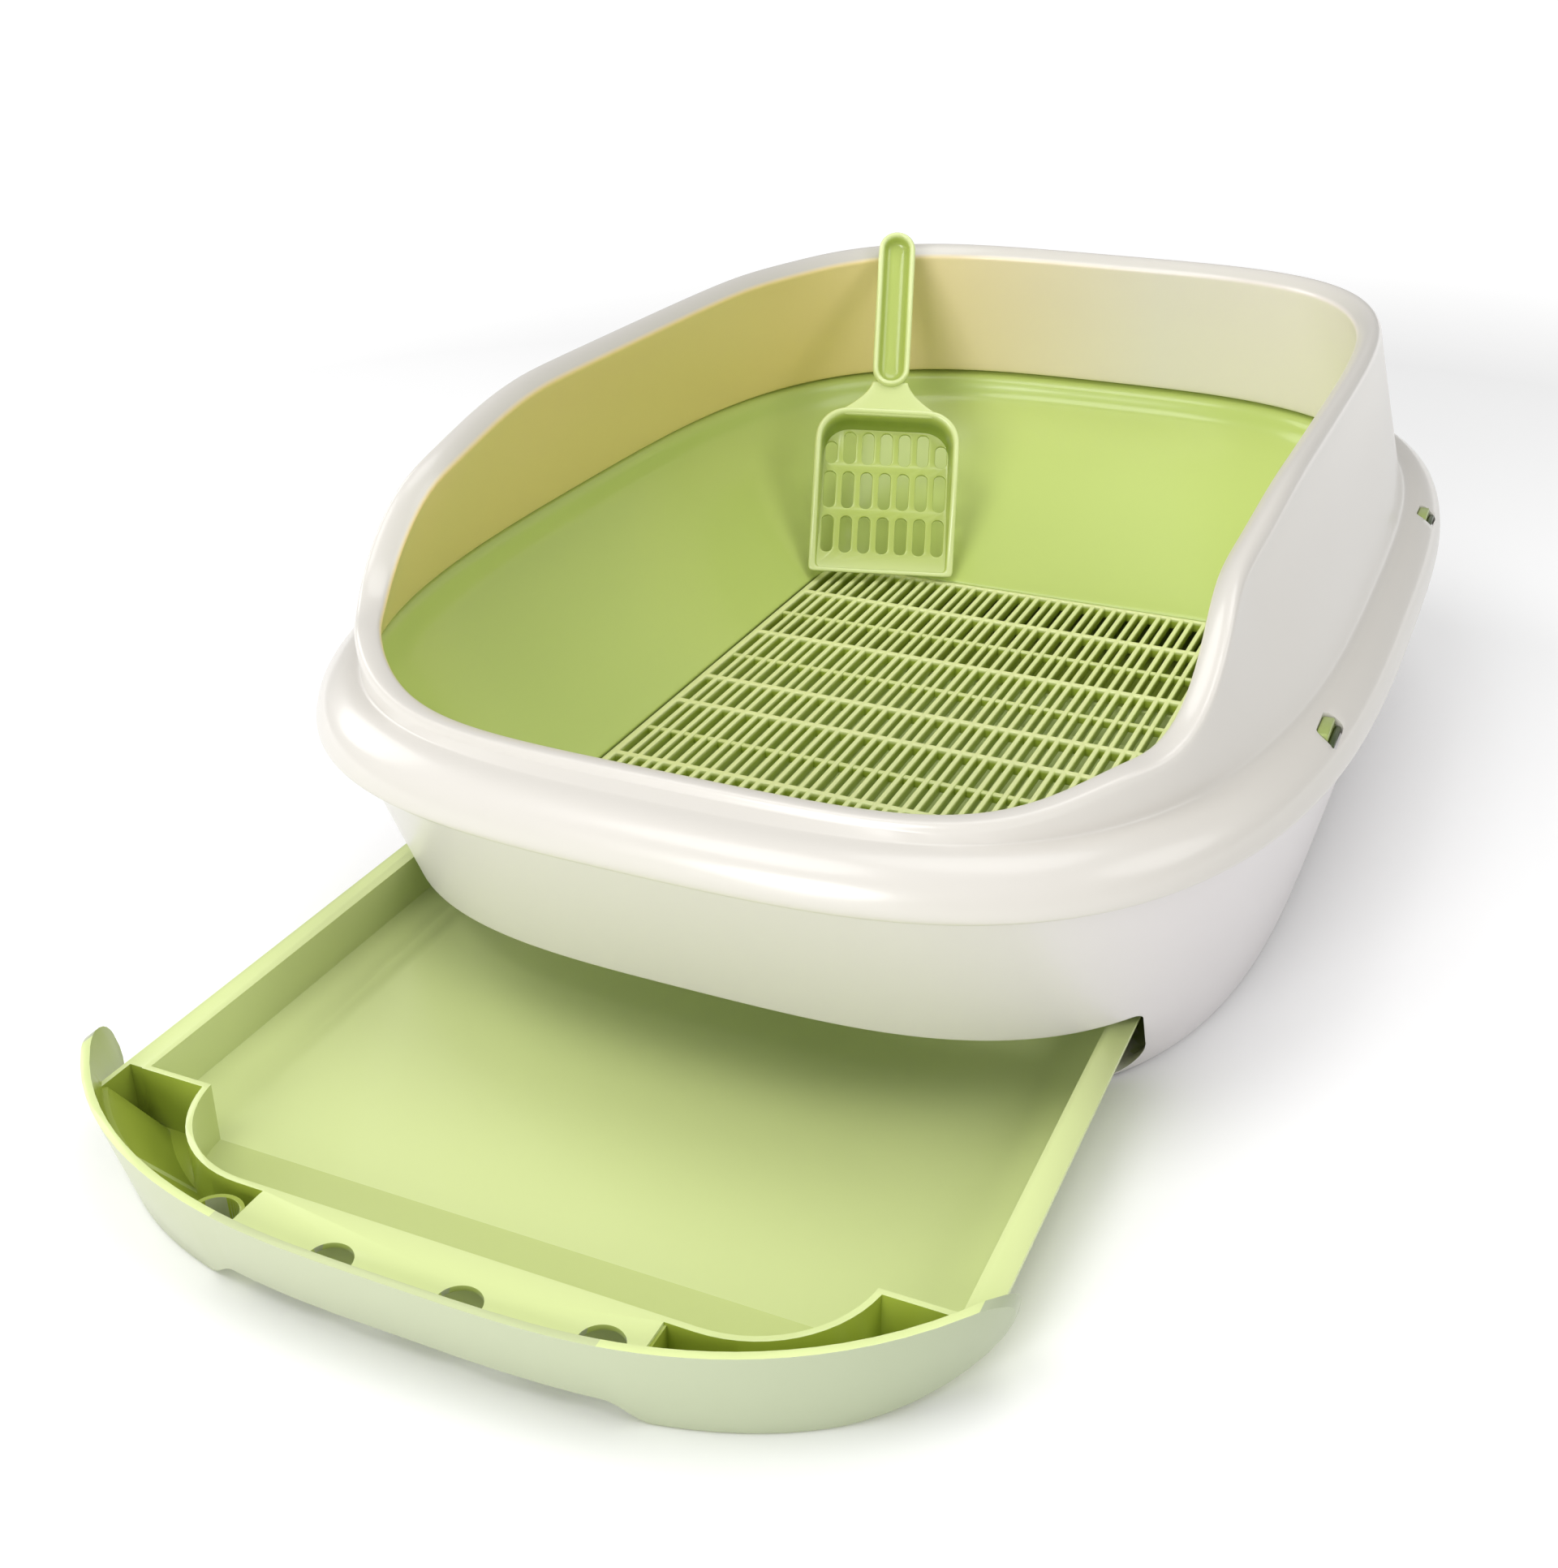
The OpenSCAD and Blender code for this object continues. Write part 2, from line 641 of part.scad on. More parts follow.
module fascia() {
    difference() {
        intersection() {
            leaning_band(-seat_gap - fascia_t, -seat_gap, ear_half_w + 2, -4, 60);
            rotate([90, 0, 0])
                translate([0, 0, 100])
                    linear_extrude(300)
                        fascia_view();
        }
        // Finger recess in the lower edge, with rounded ends.
        rotate([90, 0, 0])
            translate([grip_x, fascia_low, 100])
                linear_extrude(300)
                    polygon([
                        [-grip_half_w - 7, -8], [grip_half_w + 7, -8],
                        for (t = [0 : 0.125 : 1]) [grip_half_w + 7 - 14 * t, grip_h * ease(t)],
                        for (t = [0 : 0.125 : 1]) [-grip_half_w + 7 - 14 * t, grip_h * ease(1 - t)]
                    ]);
    }
}

// Plates between the tray and the drawer front, cut to the inside of the front.
module behind_front(x0, x1, z0, z1) {
    back_y = tray_shoulder - 1;
    intersection() {
        translate([x0, -300, z0])
            cube([x1 - x0, back_y + 300, z1 - z0]);
        translate([0, 0, z0])
            linear_extrude(z1 - z0)
                difference() {
                    translate([-drawer_half_w, -300])
                        square([2 * drawer_half_w, back_y + 300]);
                    tray_plan(drawer_wall / 2);
                }
    }
}

module finger_hole(x, z0, z1) {
    translate([x, hole_y(x), z0])
        cylinder(h = z1 - z0, r = hole_r);
}

function hole_y(x) = face_point(x)[1] + lean_at(drawer_h) - seat_gap + hole_back;

// Half-round post that stands in the left pocket, in line with the finger holes.
module finger_post() {
    x = grip_x - 2 - 1.5 * hole_pitch;
    post_z = 5.1;
    translate([x, hole_y(x), post_z])
        difference() {
            cylinder(h = drawer_h - 0.6 - post_z, r = hole_r + 1.6);
            translate([0, 0, -1])
                cylinder(h = drawer_h, r = hole_r);
        }
}

// Sloped inner skin of one corner, from the inside of the drawer front down to the tray.
module corner_skin(side) {
    steps = 12;
    thick = 2;
    foot_z = tray_floor_z - 0.7;
    top_z = drawer_h - 0.7;
    start = lean_at(top_z) - seat_gap - fascia_lap;
    along = side < 0 ? [steps : -1 : 0] : [0 : steps];
    xs = [for (i = along) side * mix(skin_from, drawer_half_w - fascia_lap, i / steps)];
    rows = [[0, foot_z], [0, top_z], [thick, top_z], [thick, foot_z]];
    intersection() {
        bar_of([for (r = rows)
            [for (x = xs) inside_face(x, start + skin_lean * (top_z - r[1]) + r[0], r[1])]]);
        translate([-drawer_half_w, -face_l, 0])
            cube([2 * drawer_half_w, tray_shoulder + 1.1 + face_l, ear_h]);
    }
}

// End wall of a corner pocket, from the tray round to the inside of the drawer front.
module pocket_end(side) {
    thick = 2;
    x = drawer_half_w;
    y = tray_shoulder - 1.9;
    translate([0, 0, tray_floor_z])
        linear_extrude(drawer_h - tray_floor_z)
            scale([side, 1])
                polygon([
                    [x, -face_l], [x, y + thick], [tray_half_w, y + thick],
                    [tray_half_w, y], [x - thick, y], [x - thick, -face_l]
                ]);
}

module flange_plate(z0, z1) {
    translate([0, 0, z0])
        linear_extrude(z1 - z0)
            difference() {
                translate([-drawer_half_w, tray_shoulder])
                    square([2 * drawer_half_w, drawer_back - 30 - tray_shoulder]);
                tray_plan(0);
            }
}

module drawer() {
    web_z = drawer_h - plate_t;
    pocket_z = tray_floor_z + plate_t;
    color("#c3d48d")
        translate([drawer_x, -drawer_out, 0]) {
            difference() {
                intersection() {
                    room_behind_front(-1, drawer_h + 1);
                    union() {
                        tray_solid(drawer_wall, drawer_h);
                        flange_plate(web_z, drawer_h);
                        // Floors of the two pockets, from the ends of the front to the tray.
                        behind_front(-drawer_half_w, -web_half_w + 1, tray_floor_z, pocket_z);
                        behind_front(web_half_w - 1, drawer_half_w, tray_floor_z, pocket_z);
                        behind_front(-web_half_w, web_half_w, web_z, drawer_h);
                        for (s = [-1, 1])
                            behind_front(s * web_half_w - 1, s * web_half_w + 1, tray_floor_z + 1, web_z + 1);
                        for (s = [-1, 1]) {
                            corner_skin(s);
                            pocket_end(s);
                        }
                        finger_post();
                    }
                }
                tray_solid(0, drawer_h + 1);
                for (i = [-0.5 : 1.5])
                    finger_hole(grip_x - 2 + hole_pitch * i, web_z - 1, drawer_h + 1);
            }
            fascia();
        }
}

// ---------- scoop (drawn upright on its edge, then leaned back) ----------

scoop_bend_r = 26;

// Side section of the blade: a flat floor that curves forward at its upper end.
module scoop_section(grow) {
    difference() {
        translate([-scoop_d, 0])
            square([scoop_d + grow, scoop_l + grow]);
        translate([-scoop_d - 1, scoop_l - scoop_bend_r + grow])
            difference() {
                square([scoop_d + 20, scoop_bend_r + 1]);
                translate([scoop_d + 1 + grow - scoop_bend_r, 0])
                    circle(scoop_bend_r);
                square([scoop_d + 1 + grow - scoop_bend_r + 0.01, scoop_bend_r]);
            }
    }
}

module scoop_outline(grow) {
    r = 18 + grow;
    w = scoop_w / 2 + grow;
    translate([-w, 0])
        square([2 * w, scoop_l + grow - r]);
    translate([-w + r, 0])
        square([2 * (w - r), scoop_l + grow]);
    for (s = [-1, 1])
        translate([s * (w - r), scoop_l + grow - r])
            circle(r);
}

module scoop_shape() {
    slot_w = 6.6;
    slot_step_x = 10.3;
    inner = scoop_t;
    difference() {
        intersection() {
            rotate([90, 0, 0])
                translate([0, 0, -20])
                    linear_extrude(60)
                        scoop_outline(0);
            translate([-100, 0, 0])
                rotate([90, 0, 90])
                    linear_extrude(200)
                        scoop_section(0);
        }
        intersection() {
            rotate([90, 0, 0])
                translate([0, 0, -20])
                    linear_extrude(60)
                        translate([0, -4])
                            scoop_outline(-inner);
            translate([-100, -inner, -4])
                rotate([90, 0, 90])
                    linear_extrude(200)
                        scoop_section(0);
        }
        // Side walls run out towards the edge.
        translate([-100, -scoop_d, 0])
            rotate([90, 0, 90])
                linear_extrude(200)
                    polygon([[-5, -5], [scoop_d - 3.5, -5], [scoop_d - 3.5, 4], [4, 30], [-5, 70]]);
        // Three rows of seven slots.
        for (c = [-3 : 3]) {
            translate([c * slot_step_x - slot_w / 2, -6, 12])
                cube([slot_w, 12, 21]);
            translate([c * slot_step_x - slot_w / 2, -6, 38])
                cube([slot_w, 12, 21]);
            translate([c * slot_step_x - slot_w / 2, -9, 64])
                cube([slot_w, 12, 17]);
        }
    }
}

module scoop_handle() {
    y_mid = -scoop_d + 4;
    neck_z = scoop_l - 4;
    difference() {
        union() {
            translate([0, y_mid, neck_z])
                cylinder(h = handle_l - handle_w / 2, d = handle_w);
            translate([0, y_mid, neck_z + handle_l - handle_w / 2])
                sphere(d = handle_w);
            // Flared neck.
            translate([0, y_mid, 0])
                rotate([90, 0, 0])
                    translate([0, 0, -4])
                        linear_extrude(8)
                            polygon([
                                [-scoop_w / 2 + 12, neck_z], [scoop_w / 2 - 12, neck_z],
                                [handle_w / 2 - 1, neck_z + 24], [-handle_w / 2 + 1, neck_z + 24]
                            ]);
        }
        // Open back of the handle.
        translate([-60, y_mid + 2.5, neck_z - 1])
            cube([120, 40, handle_l + 40]);
        translate([0, y_mid + 2.6, neck_z + 26])
            cylinder(h = handle_l - 26 - handle_w / 2, d = handle_w - 5);
    }
}

// Level distance from the blade's edge to the rim, found by halving the span.
function run_to_rim(near, far, halvings) =
    let (
        run = (near + far) / 2,
        x = scoop_x - run * sin(scoop_turn),
        y = scoop_y + run * cos(scoop_turn) + rim_ahead,
        inside = pow(abs(x) / rim_half_w, RIM_POWER) + pow(abs(y) / rim_half_l, RIM_POWER) < 1
    )
    halvings == 0 ? run
        : run_to_rim(inside ? run : near, inside ? far : run, halvings - 1);

module scoop() {
    color("#a9c257")
        translate([scoop_x, scoop_y, sieve_z + scoop_up])
            rotate([0, 0, scoop_turn])
                rotate([-scoop_lean, 0, 0])
                    rotate([0, scoop_tilt, 0]) {
                        scoop_shape();
                        scoop_handle();
                    }
}

base();
sieve_tub();
splash_frame();
drawer();
scoop();
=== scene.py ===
# %% [markdown]
# # A drawer litter box
# Five moulded pieces make this litter box: a white base, a green tub with a slotted floor, a white splash
# frame that snaps over both, a pale green drawer and a scoop. The measured frame gives where each piece is
# and how it moves. This lesson gives each piece its smooth surfaces, its rounded edges and its finish.

# %% Load the measured frame
import math

import bmesh
import bpy
from mathutils import Matrix, Vector


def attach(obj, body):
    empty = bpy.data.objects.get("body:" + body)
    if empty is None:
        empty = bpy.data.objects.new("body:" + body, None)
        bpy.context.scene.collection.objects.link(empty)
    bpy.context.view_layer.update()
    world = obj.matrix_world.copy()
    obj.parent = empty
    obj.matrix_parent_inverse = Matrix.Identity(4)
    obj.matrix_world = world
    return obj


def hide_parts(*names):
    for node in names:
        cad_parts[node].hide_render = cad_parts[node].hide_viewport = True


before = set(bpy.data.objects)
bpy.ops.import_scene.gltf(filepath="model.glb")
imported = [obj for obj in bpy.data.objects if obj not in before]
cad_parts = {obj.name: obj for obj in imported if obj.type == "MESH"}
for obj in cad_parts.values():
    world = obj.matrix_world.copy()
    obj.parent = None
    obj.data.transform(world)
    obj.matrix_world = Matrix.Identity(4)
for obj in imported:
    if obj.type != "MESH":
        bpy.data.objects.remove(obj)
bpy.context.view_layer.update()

scene = bpy.context.scene

# %% [markdown]
# Every outline of this box is a superellipse: flatter than an ellipse, rounder than a rectangle. One function
# gives a point of such an outline. The turns are warped a little, so that more points fall in the corners.

# %% Plan outlines, in millimetres
MM = 0.001
RING_N = 88
WARP = math.radians(5.2)


def mix(low, high, share):
    return low + (high - low) * share


def ease(share):
    held = min(1.0, max(0.0, share))
    return held * held * (3.0 - 2.0 * held)


def oval(index, half_w, half_l, power, middle_y=0.0):
    turn = math.tau * index / RING_N
    turn += WARP * math.sin(4.0 * turn)
    reach = (abs(math.cos(turn)) ** power + abs(math.sin(turn)) ** power) ** (-1.0 / power)
    return half_w * reach * math.cos(turn), middle_y + half_l * reach * math.sin(turn)


def ring(half_w, half_l, height, power, middle_y=0.0):
    points = [oval(i, half_w, half_l, power, middle_y) for i in range(RING_N)]
    return [Vector((x, y, height)) for x, y in points]


def mix_rings(first, second, share):
    return [a.lerp(b, share) for a, b in zip(first, second)]


def half_width_at(y, half_w, half_l, power):
    return half_w * (1.0 - min(1.0, abs(y) / half_l) ** power) ** (1.0 / power)


print("a quarter of the plan has", RING_N // 4, "points")

# %% [markdown]
# A moulded shell has the same plan at every height, only wider or narrower. So its mesh starts as a circle of
# edges, which is extruded from ring to ring, and its two last rings are bridged. Subdivision then makes the
# wall one smooth surface.

# %% Lofts
def row_edges(bm, row):
    return [bm.edges.get((row[i - 1], row[i])) for i in range(len(row))]


def loft(bm, rings):
    """Extrude a circle of edges from ring to ring, and give back its rows of points."""
    row = bmesh.ops.create_circle(bm, segments=len(rings[0]), radius=1.0)["verts"]
    rows = [row]
    for vert, place in zip(row, rings[0]):
        vert.co = place
    for places in rings[1:]:
        made = set(bmesh.ops.extrude_edge_only(bm, edges=row_edges(bm, row))["geom"])
        row = [next(e.other_vert(v) for e in v.link_edges if e.other_vert(v) in made) for v in row]
        for vert, place in zip(row, places):
            vert.co = place
        rows.append(row)
    return rows


def bridge(bm, first, last):
    bmesh.ops.bridge_loops(bm, edges=row_edges(bm, first) + row_edges(bm, last))


def cap(bm, row):
    bmesh.ops.contextual_create(bm, geom=row_edges(bm, row))


def mark_rows(rows, layer, value=1.0):
    """Write a value to the points of some rows, for a material to read."""
    for row in rows:
        for vert in row:
            vert[layer] = value


print("points in one row of a wall", RING_N)

# %% [markdown]
# A real moulding has clean holes and rounded edges. Holes drawn into the first coarse mesh would pull the
# smooth wall out of shape, so the wall is subdivided first, each hole is cut with an exact Boolean, and a
# small bevel then rounds the edges. The modifiers are applied at the end, and the cutters are dropped.

# %% Pieces and their modifiers
def new_object(name, bm):
    bmesh.ops.recalc_face_normals(bm, faces=bm.faces)
    bmesh.ops.scale(bm, vec=(MM, MM, MM), verts=bm.verts)
    mesh = bpy.data.meshes.new(name)
    bm.to_mesh(mesh)
    bm.free()
    piece = bpy.data.objects.new(name, mesh)
    scene.collection.objects.link(piece)
    return piece


def subdivide(piece, levels):
    smooth = piece.modifiers.new("smooth_wall", "SUBSURF")
    smooth.levels = smooth.render_levels = levels


def cut(piece, cutters):
    for cutter in cutters:
        hole = piece.modifiers.new("hole", "BOOLEAN")
        hole.operation = "DIFFERENCE"
        hole.solver = "EXACT"
        hole.object = cutter


def round_edges(piece, width, angle=35.0, segments=2):
    edge = piece.modifiers.new("round_edges", "BEVEL")
    edge.width = width * MM
    edge.segments = segments
    edge.limit_method = "ANGLE"
    edge.angle_limit = math.radians(angle)
    edge.use_clamp_overlap = True


def settle(piece, cutters=()):
    """Apply the modifiers, drop the cutters and shade the surface smooth."""
    depsgraph = bpy.context.evaluated_depsgraph_get()
    mesh = bpy.data.meshes.new_from_object(piece.evaluated_get(depsgraph))
    piece.modifiers.clear()
    piece.data = mesh
    mesh.name = piece.name
    for cutter in cutters:
        bpy.data.objects.remove(cutter)
    mesh.shade_smooth()
    mesh.set_sharp_from_angle(angle=math.radians(50.0))
    triangles = sum(len(p.vertices) - 2 for p in mesh.polygons)
    print(piece.name, len(mesh.vertices), "points", triangles, "triangles")


def box_points(bm, low, high):
    """A closed box between two corners."""
    made = bmesh.ops.create_cube(bm, size=1.0)["verts"]
    size = [h - l for l, h in zip(low, high)]
    middle = [(h + l) / 2 for l, h in zip(low, high)]
    bmesh.ops.scale(bm, vec=size, verts=made)
    bmesh.ops.translate(bm, vec=middle, verts=made)
    return made


def bevel_edges(bm, edges, width, segments=4):
    bmesh.ops.bevel(bm, geom=edges, offset=width, segments=segments, profile=0.5, affect="EDGES", material=-1)


# %% [markdown]
# ## Finishes
# The pieces are polypropylene, moulded with a soft satin gloss. Real mouldings are never one flat colour: the
# surface has a very fine grain, slow waves from cooling, and a slightly different gloss from place to place.
# A picture could hold those effects, but noise needs no unwrapping. One node group makes them for every
# plastic, and each material places the group with its own values.

# %% Node group for moulded plastic
WAVE_SCALE, GRAIN_SCALE, GRAIN_DEPTH = 9.0, 900.0, 0.0001
ROUGHNESS_RANGE = 0.03
DULL_TINT = (0.55, 0.55, 0.5, 1.0)


def make_moulding_group():
    group = bpy.data.node_groups.new("moulded_surface", "ShaderNodeTree")
    for name, kind, value in (("Colour", "NodeSocketColor", (0.8, 0.8, 0.8, 1.0)),
                              ("Shade", "NodeSocketFloat", 0.04),
                              ("Roughness", "NodeSocketFloat", 0.3),
                              ("Grain", "NodeSocketFloat", 0.1)):
        socket = group.interface.new_socket(name, in_out="INPUT", socket_type=kind)
        socket.default_value = value
    group.interface.new_socket("Colour", in_out="OUTPUT", socket_type="NodeSocketColor")
    group.interface.new_socket("Roughness", in_out="OUTPUT", socket_type="NodeSocketFloat")
    group.interface.new_socket("Normal", in_out="OUTPUT", socket_type="NodeSocketVector")
    nodes, links = group.nodes, group.links
    inputs, outputs = nodes.new("NodeGroupInput"), nodes.new("NodeGroupOutput")
    place = nodes.new("ShaderNodeTexCoord")
    slow, fine = nodes.new("ShaderNodeTexNoise"), nodes.new("ShaderNodeTexNoise")
    slow.inputs["Scale"].default_value = WAVE_SCALE
    slow.inputs["Detail"].default_value = 2.0
    fine.inputs["Scale"].default_value = GRAIN_SCALE
    fine.inputs["Detail"].default_value = 2.0
    for noise in (slow, fine):
        links.new(place.outputs["Object"], noise.inputs["Vector"])
    darker = nodes.new("ShaderNodeMixRGB")
    darker.blend_type = "MULTIPLY"
    darker.inputs["Color2"].default_value = DULL_TINT
    amount = nodes.new("ShaderNodeMath")
    amount.operation = "MULTIPLY"
    links.new(slow.outputs["Fac"], amount.inputs[0])
    links.new(inputs.outputs["Shade"], amount.inputs[1])
    links.new(amount.outputs[0], darker.inputs["Fac"])
    links.new(inputs.outputs["Colour"], darker.inputs["Color1"])
    links.new(darker.outputs["Color"], outputs.inputs["Colour"])
    rough = nodes.new("ShaderNodeMath")
    rough.operation = "MULTIPLY_ADD"
    rough.inputs[1].default_value = ROUGHNESS_RANGE
    links.new(slow.outputs["Fac"], rough.inputs[0])
    links.new(inputs.outputs["Roughness"], rough.inputs[2])
    links.new(rough.outputs[0], outputs.inputs["Roughness"])
    bump = nodes.new("ShaderNodeBump")
    bump.inputs["Distance"].default_value = GRAIN_DEPTH
    links.new(inputs.outputs["Grain"], bump.inputs["Strength"])
    links.new(fine.outputs["Fac"], bump.inputs["Height"])
    links.new(bump.outputs["Normal"], outputs.inputs["Normal"])
    return group


moulding = make_moulding_group()
print("node group", moulding.name)

# %% [markdown]
# A clear coat over a soft base gives the satin of polypropylene: a wide sheen with a faint sharp glint. Some
# faces of one moulding get light or shade painted into their colour: painted shade in hollows, gaps and under
# the tub, a painted reflection of the green tub on the frame, painted highlights on the scoop and a painted
# sheen on the drawer's front. They could be separate materials, but then the change would be hard. So a mark
# on the mesh mixes a tint in.

# %% Plastics
def moulded_plastic(name, colour, roughness, coat, shade=0.05, grain=0.12):
    material = bpy.data.materials.new(name)
    material.use_nodes = True
    nodes, links = material.node_tree.nodes, material.node_tree.links
    shader = nodes["Principled BSDF"]
    surface = nodes.new("ShaderNodeGroup")
    surface.node_tree = moulding
    surface.name = "surface"
    surface.inputs["Colour"].default_value = (*colour, 1.0)
    surface.inputs["Shade"].default_value = shade
    surface.inputs["Roughness"].default_value = roughness
    surface.inputs["Grain"].default_value = grain
    links.new(surface.outputs["Colour"], shader.inputs["Base Color"])
    links.new(surface.outputs["Roughness"], shader.inputs["Roughness"])
    links.new(surface.outputs["Normal"], shader.inputs["Normal"])
    shader.inputs["IOR"].default_value = 1.49
    shader.inputs["Coat Weight"].default_value = coat
    shader.inputs["Coat Roughness"].default_value = 0.12
    material.diffuse_color = (*colour, 1.0)
    return material


def mix_along(material, axis, low, high, start, end):
    """A colour that goes from low to high along one axis, between two places in metres."""
    nodes, links = material.node_tree.nodes, material.node_tree.links
    place, split = nodes.new("ShaderNodeTexCoord"), nodes.new("ShaderNodeSeparateXYZ")
    ramp, blend = nodes.new("ShaderNodeMapRange"), nodes.new("ShaderNodeMixRGB")
    ramp.inputs["From Min"].default_value = start
    ramp.inputs["From Max"].default_value = end
    blend.inputs["Color1"].default_value = (*low, 1.0)
    blend.inputs["Color2"].default_value = (*high, 1.0)
    links.new(place.outputs["Object"], split.inputs[0])
    links.new(split.outputs[axis], ramp.inputs["Value"])
    links.new(ramp.outputs["Result"], blend.inputs["Fac"])
    return blend.outputs["Color"]


def tint_by_mark(material, mark, left, right=None, from_x=-0.15, to_x=0.15):
    """Tint the faces or points that a mark names. With two tints, the tint changes from left to right."""
    nodes, links = material.node_tree.nodes, material.node_tree.links
    colour = nodes["surface"].inputs["Colour"]
    mask, blend = nodes.new("ShaderNodeAttribute"), nodes.new("ShaderNodeMixRGB")
    mask.attribute_name = mark
    blend.inputs["Color1"].default_value = colour.default_value
    if colour.is_linked:
        links.new(colour.links[0].from_socket, blend.inputs["Color1"])
    links.new(mix_along(material, "X", left, right or left, from_x, to_x), blend.inputs["Color2"])
    links.new(mask.outputs["Fac"], blend.inputs["Fac"])
    links.new(blend.outputs["Color"], colour)


white_plastic = moulded_plastic("white_plastic", (0.67, 0.64, 0.64), 0.305, 0.25)
# The floor inside the base gets a painted shade, tinted green, for the shade under the tub.
tint_by_mark(white_plastic, "base_floor_painted_shade", (0.34, 0.43, 0.06))
frame_plastic = moulded_plastic("frame_white_plastic", (0.61, 0.585, 0.54), 0.285, 0.3)
# The frame's inner face gets a painted reflection of the green tub: tan on the left, paler towards the right.
tint_by_mark(frame_plastic, "inner_face_painted_reflection", (0.93, 0.73, 0.33), (0.84, 0.77, 0.74), -0.16, 0.03)
tub_plastic = moulded_plastic("tub_green_plastic", (0.51, 0.625, 0.175), 0.285, 0.3)
# The tub's painted shade darkens the gaps beside the clip tongues.
tint_by_mark(tub_plastic, "painted_shade", (0.03, 0.05, 0.006))
scoop_plastic = moulded_plastic("scoop_green_plastic", (0.45, 0.54, 0.13), 0.265, 0.35)
# The scoop gets painted shade under its pan's top end and in its handle, and painted highlights on its rims,
# plate and neck.
tint_by_mark(scoop_plastic, "painted_shade", (0.17, 0.25, 0.02))
tint_by_mark(scoop_plastic, "painted_highlight", (0.68, 0.76, 0.36))
drawer_plastic = moulded_plastic("drawer_pale_green_plastic", (0.67, 0.76, 0.335), 0.325, 0.2)
# The drawer front's outside gets a painted sheen that turns to painted shade towards the right, and the
# pockets get painted shade.
tint_by_mark(drawer_plastic, "outer_face_painted_sheen", (0.45, 0.48, 0.325), (0.41, 0.46, 0.30))
tint_by_mark(drawer_plastic, "painted_shade", (0.33, 0.41, 0.05), (0.35, 0.43, 0.05))

# The slats are the tub's green with painted light on their tops, and painted shade lower down between them
# and on the low ribs.
SLAT_PAINTED_SHADE, SLAT_PAINTED_LIGHT = (0.36, 0.46, 0.05), (0.78, 0.84, 0.42)
slat_plastic = moulded_plastic("slat_green_plastic", SLAT_PAINTED_LIGHT, 0.305, 0.2)
slat_light_and_shade = mix_along(slat_plastic, "Z", SLAT_PAINTED_SHADE, SLAT_PAINTED_LIGHT, 0.0345, 0.0362)
slat_plastic.node_tree.links.new(slat_light_and_shade, slat_plastic.node_tree.nodes["surface"].inputs["Colour"])
print("materials", len(bpy.data.materials))


# %% Finish a piece
def finish(piece, material, body, node):
    """Give a piece its material and its body, and hide the measured node that it stands for."""
    piece.data.materials.clear()
    piece.data.materials.append(material)
    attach(piece, body)
    if node:
        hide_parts(node)


# %% [markdown]
# ## Base
# The base is a deep white bowl. Its wall leans outward up to a short upright band, where the splash frame
# sits. A box with tapered sides would come close, but its corners would be too hard, so the bowl is a loft
# of superellipses that goes up outside and comes down inside.

# %% Measures of the base
BASE_HALF_W, BASE_HALF_L = 181.2, 258.2
BASE_H, FLARE_H = 118.0, 108.0
FLARE_SIDE, FLARE_END = 21.0, 50.0
BASE_WALL, FOOT_R, INNER_FOOT = 2.6, 4.0, 3.0
BASE_POWER, TOP_POWER = 3.5, 3.2
DRAWER_X = -6.0
DRAWER_HALF_W = 158.0
OPENING_HALF_W = 160.3
SILL_Z, OPENING_TOP = 3.2, 35.7


def base_ring(height, inset, scale=1.0):
    share = min(1.0, height / FLARE_H)
    half_w = BASE_HALF_W + FLARE_SIDE * share - inset
    half_l = BASE_HALF_L + FLARE_END * share - inset
    return ring(half_w * scale, half_l * scale, height, mix(BASE_POWER, TOP_POWER, share))


def base_rings():
    foot = [math.radians(turn) for turn in (0, 30, 60, 90)]
    heights = [16.2, 43.2, 75.6, 104.0, 108.0, 116.5, BASE_H]
    rings = [base_ring(0.0, FOOT_R, 0.5), base_ring(0.0, FOOT_R, 0.95)]
    rings += [base_ring(FOOT_R * (1 - math.cos(s)), FOOT_R * (1 - math.sin(s))) for s in foot]
    rings += [base_ring(h, 0.0) for h in heights]
    rings += [base_ring(h, BASE_WALL) for h in reversed(heights)]
    rings += [base_ring(BASE_WALL + INNER_FOOT, BASE_WALL), base_ring(BASE_WALL, BASE_WALL + INNER_FOOT)]
    rings += [base_ring(BASE_WALL, FOOT_R, 0.5)]
    return rings


print("base rings", len(base_rings()))

# %% [markdown]
# The front wall has one wide opening for the drawer, with big round corners at its sill and small ones at its
# top. A block with the same corners cuts it, so that the opening follows the curve of the wall.

# %% Cutter for the drawer opening
OPENING_BACK_Y, OPENING_FRONT_Y = -120.0, -420.0
SILL_CORNER, TOP_CORNER = 12.0, 3.0


def long_edges(bm, height):
    """The edges at a height that run from the front of the box to its back."""
    level = [e for e in bm.edges if all(abs(v.co.z - height) < 1 for v in e.verts)]
    return [e for e in level if abs(e.verts[0].co.x - e.verts[1].co.x) < 1]


def opening_cutter():
    bm = bmesh.new()
    box_points(bm, (DRAWER_X - OPENING_HALF_W, OPENING_FRONT_Y, SILL_Z),
               (DRAWER_X + OPENING_HALF_W, OPENING_BACK_Y, OPENING_TOP))
    bevel_edges(bm, long_edges(bm, SILL_Z), SILL_CORNER, 8)
    bevel_edges(bm, long_edges(bm, OPENING_TOP), TOP_CORNER)
    return new_object("opening_cutter", bm)


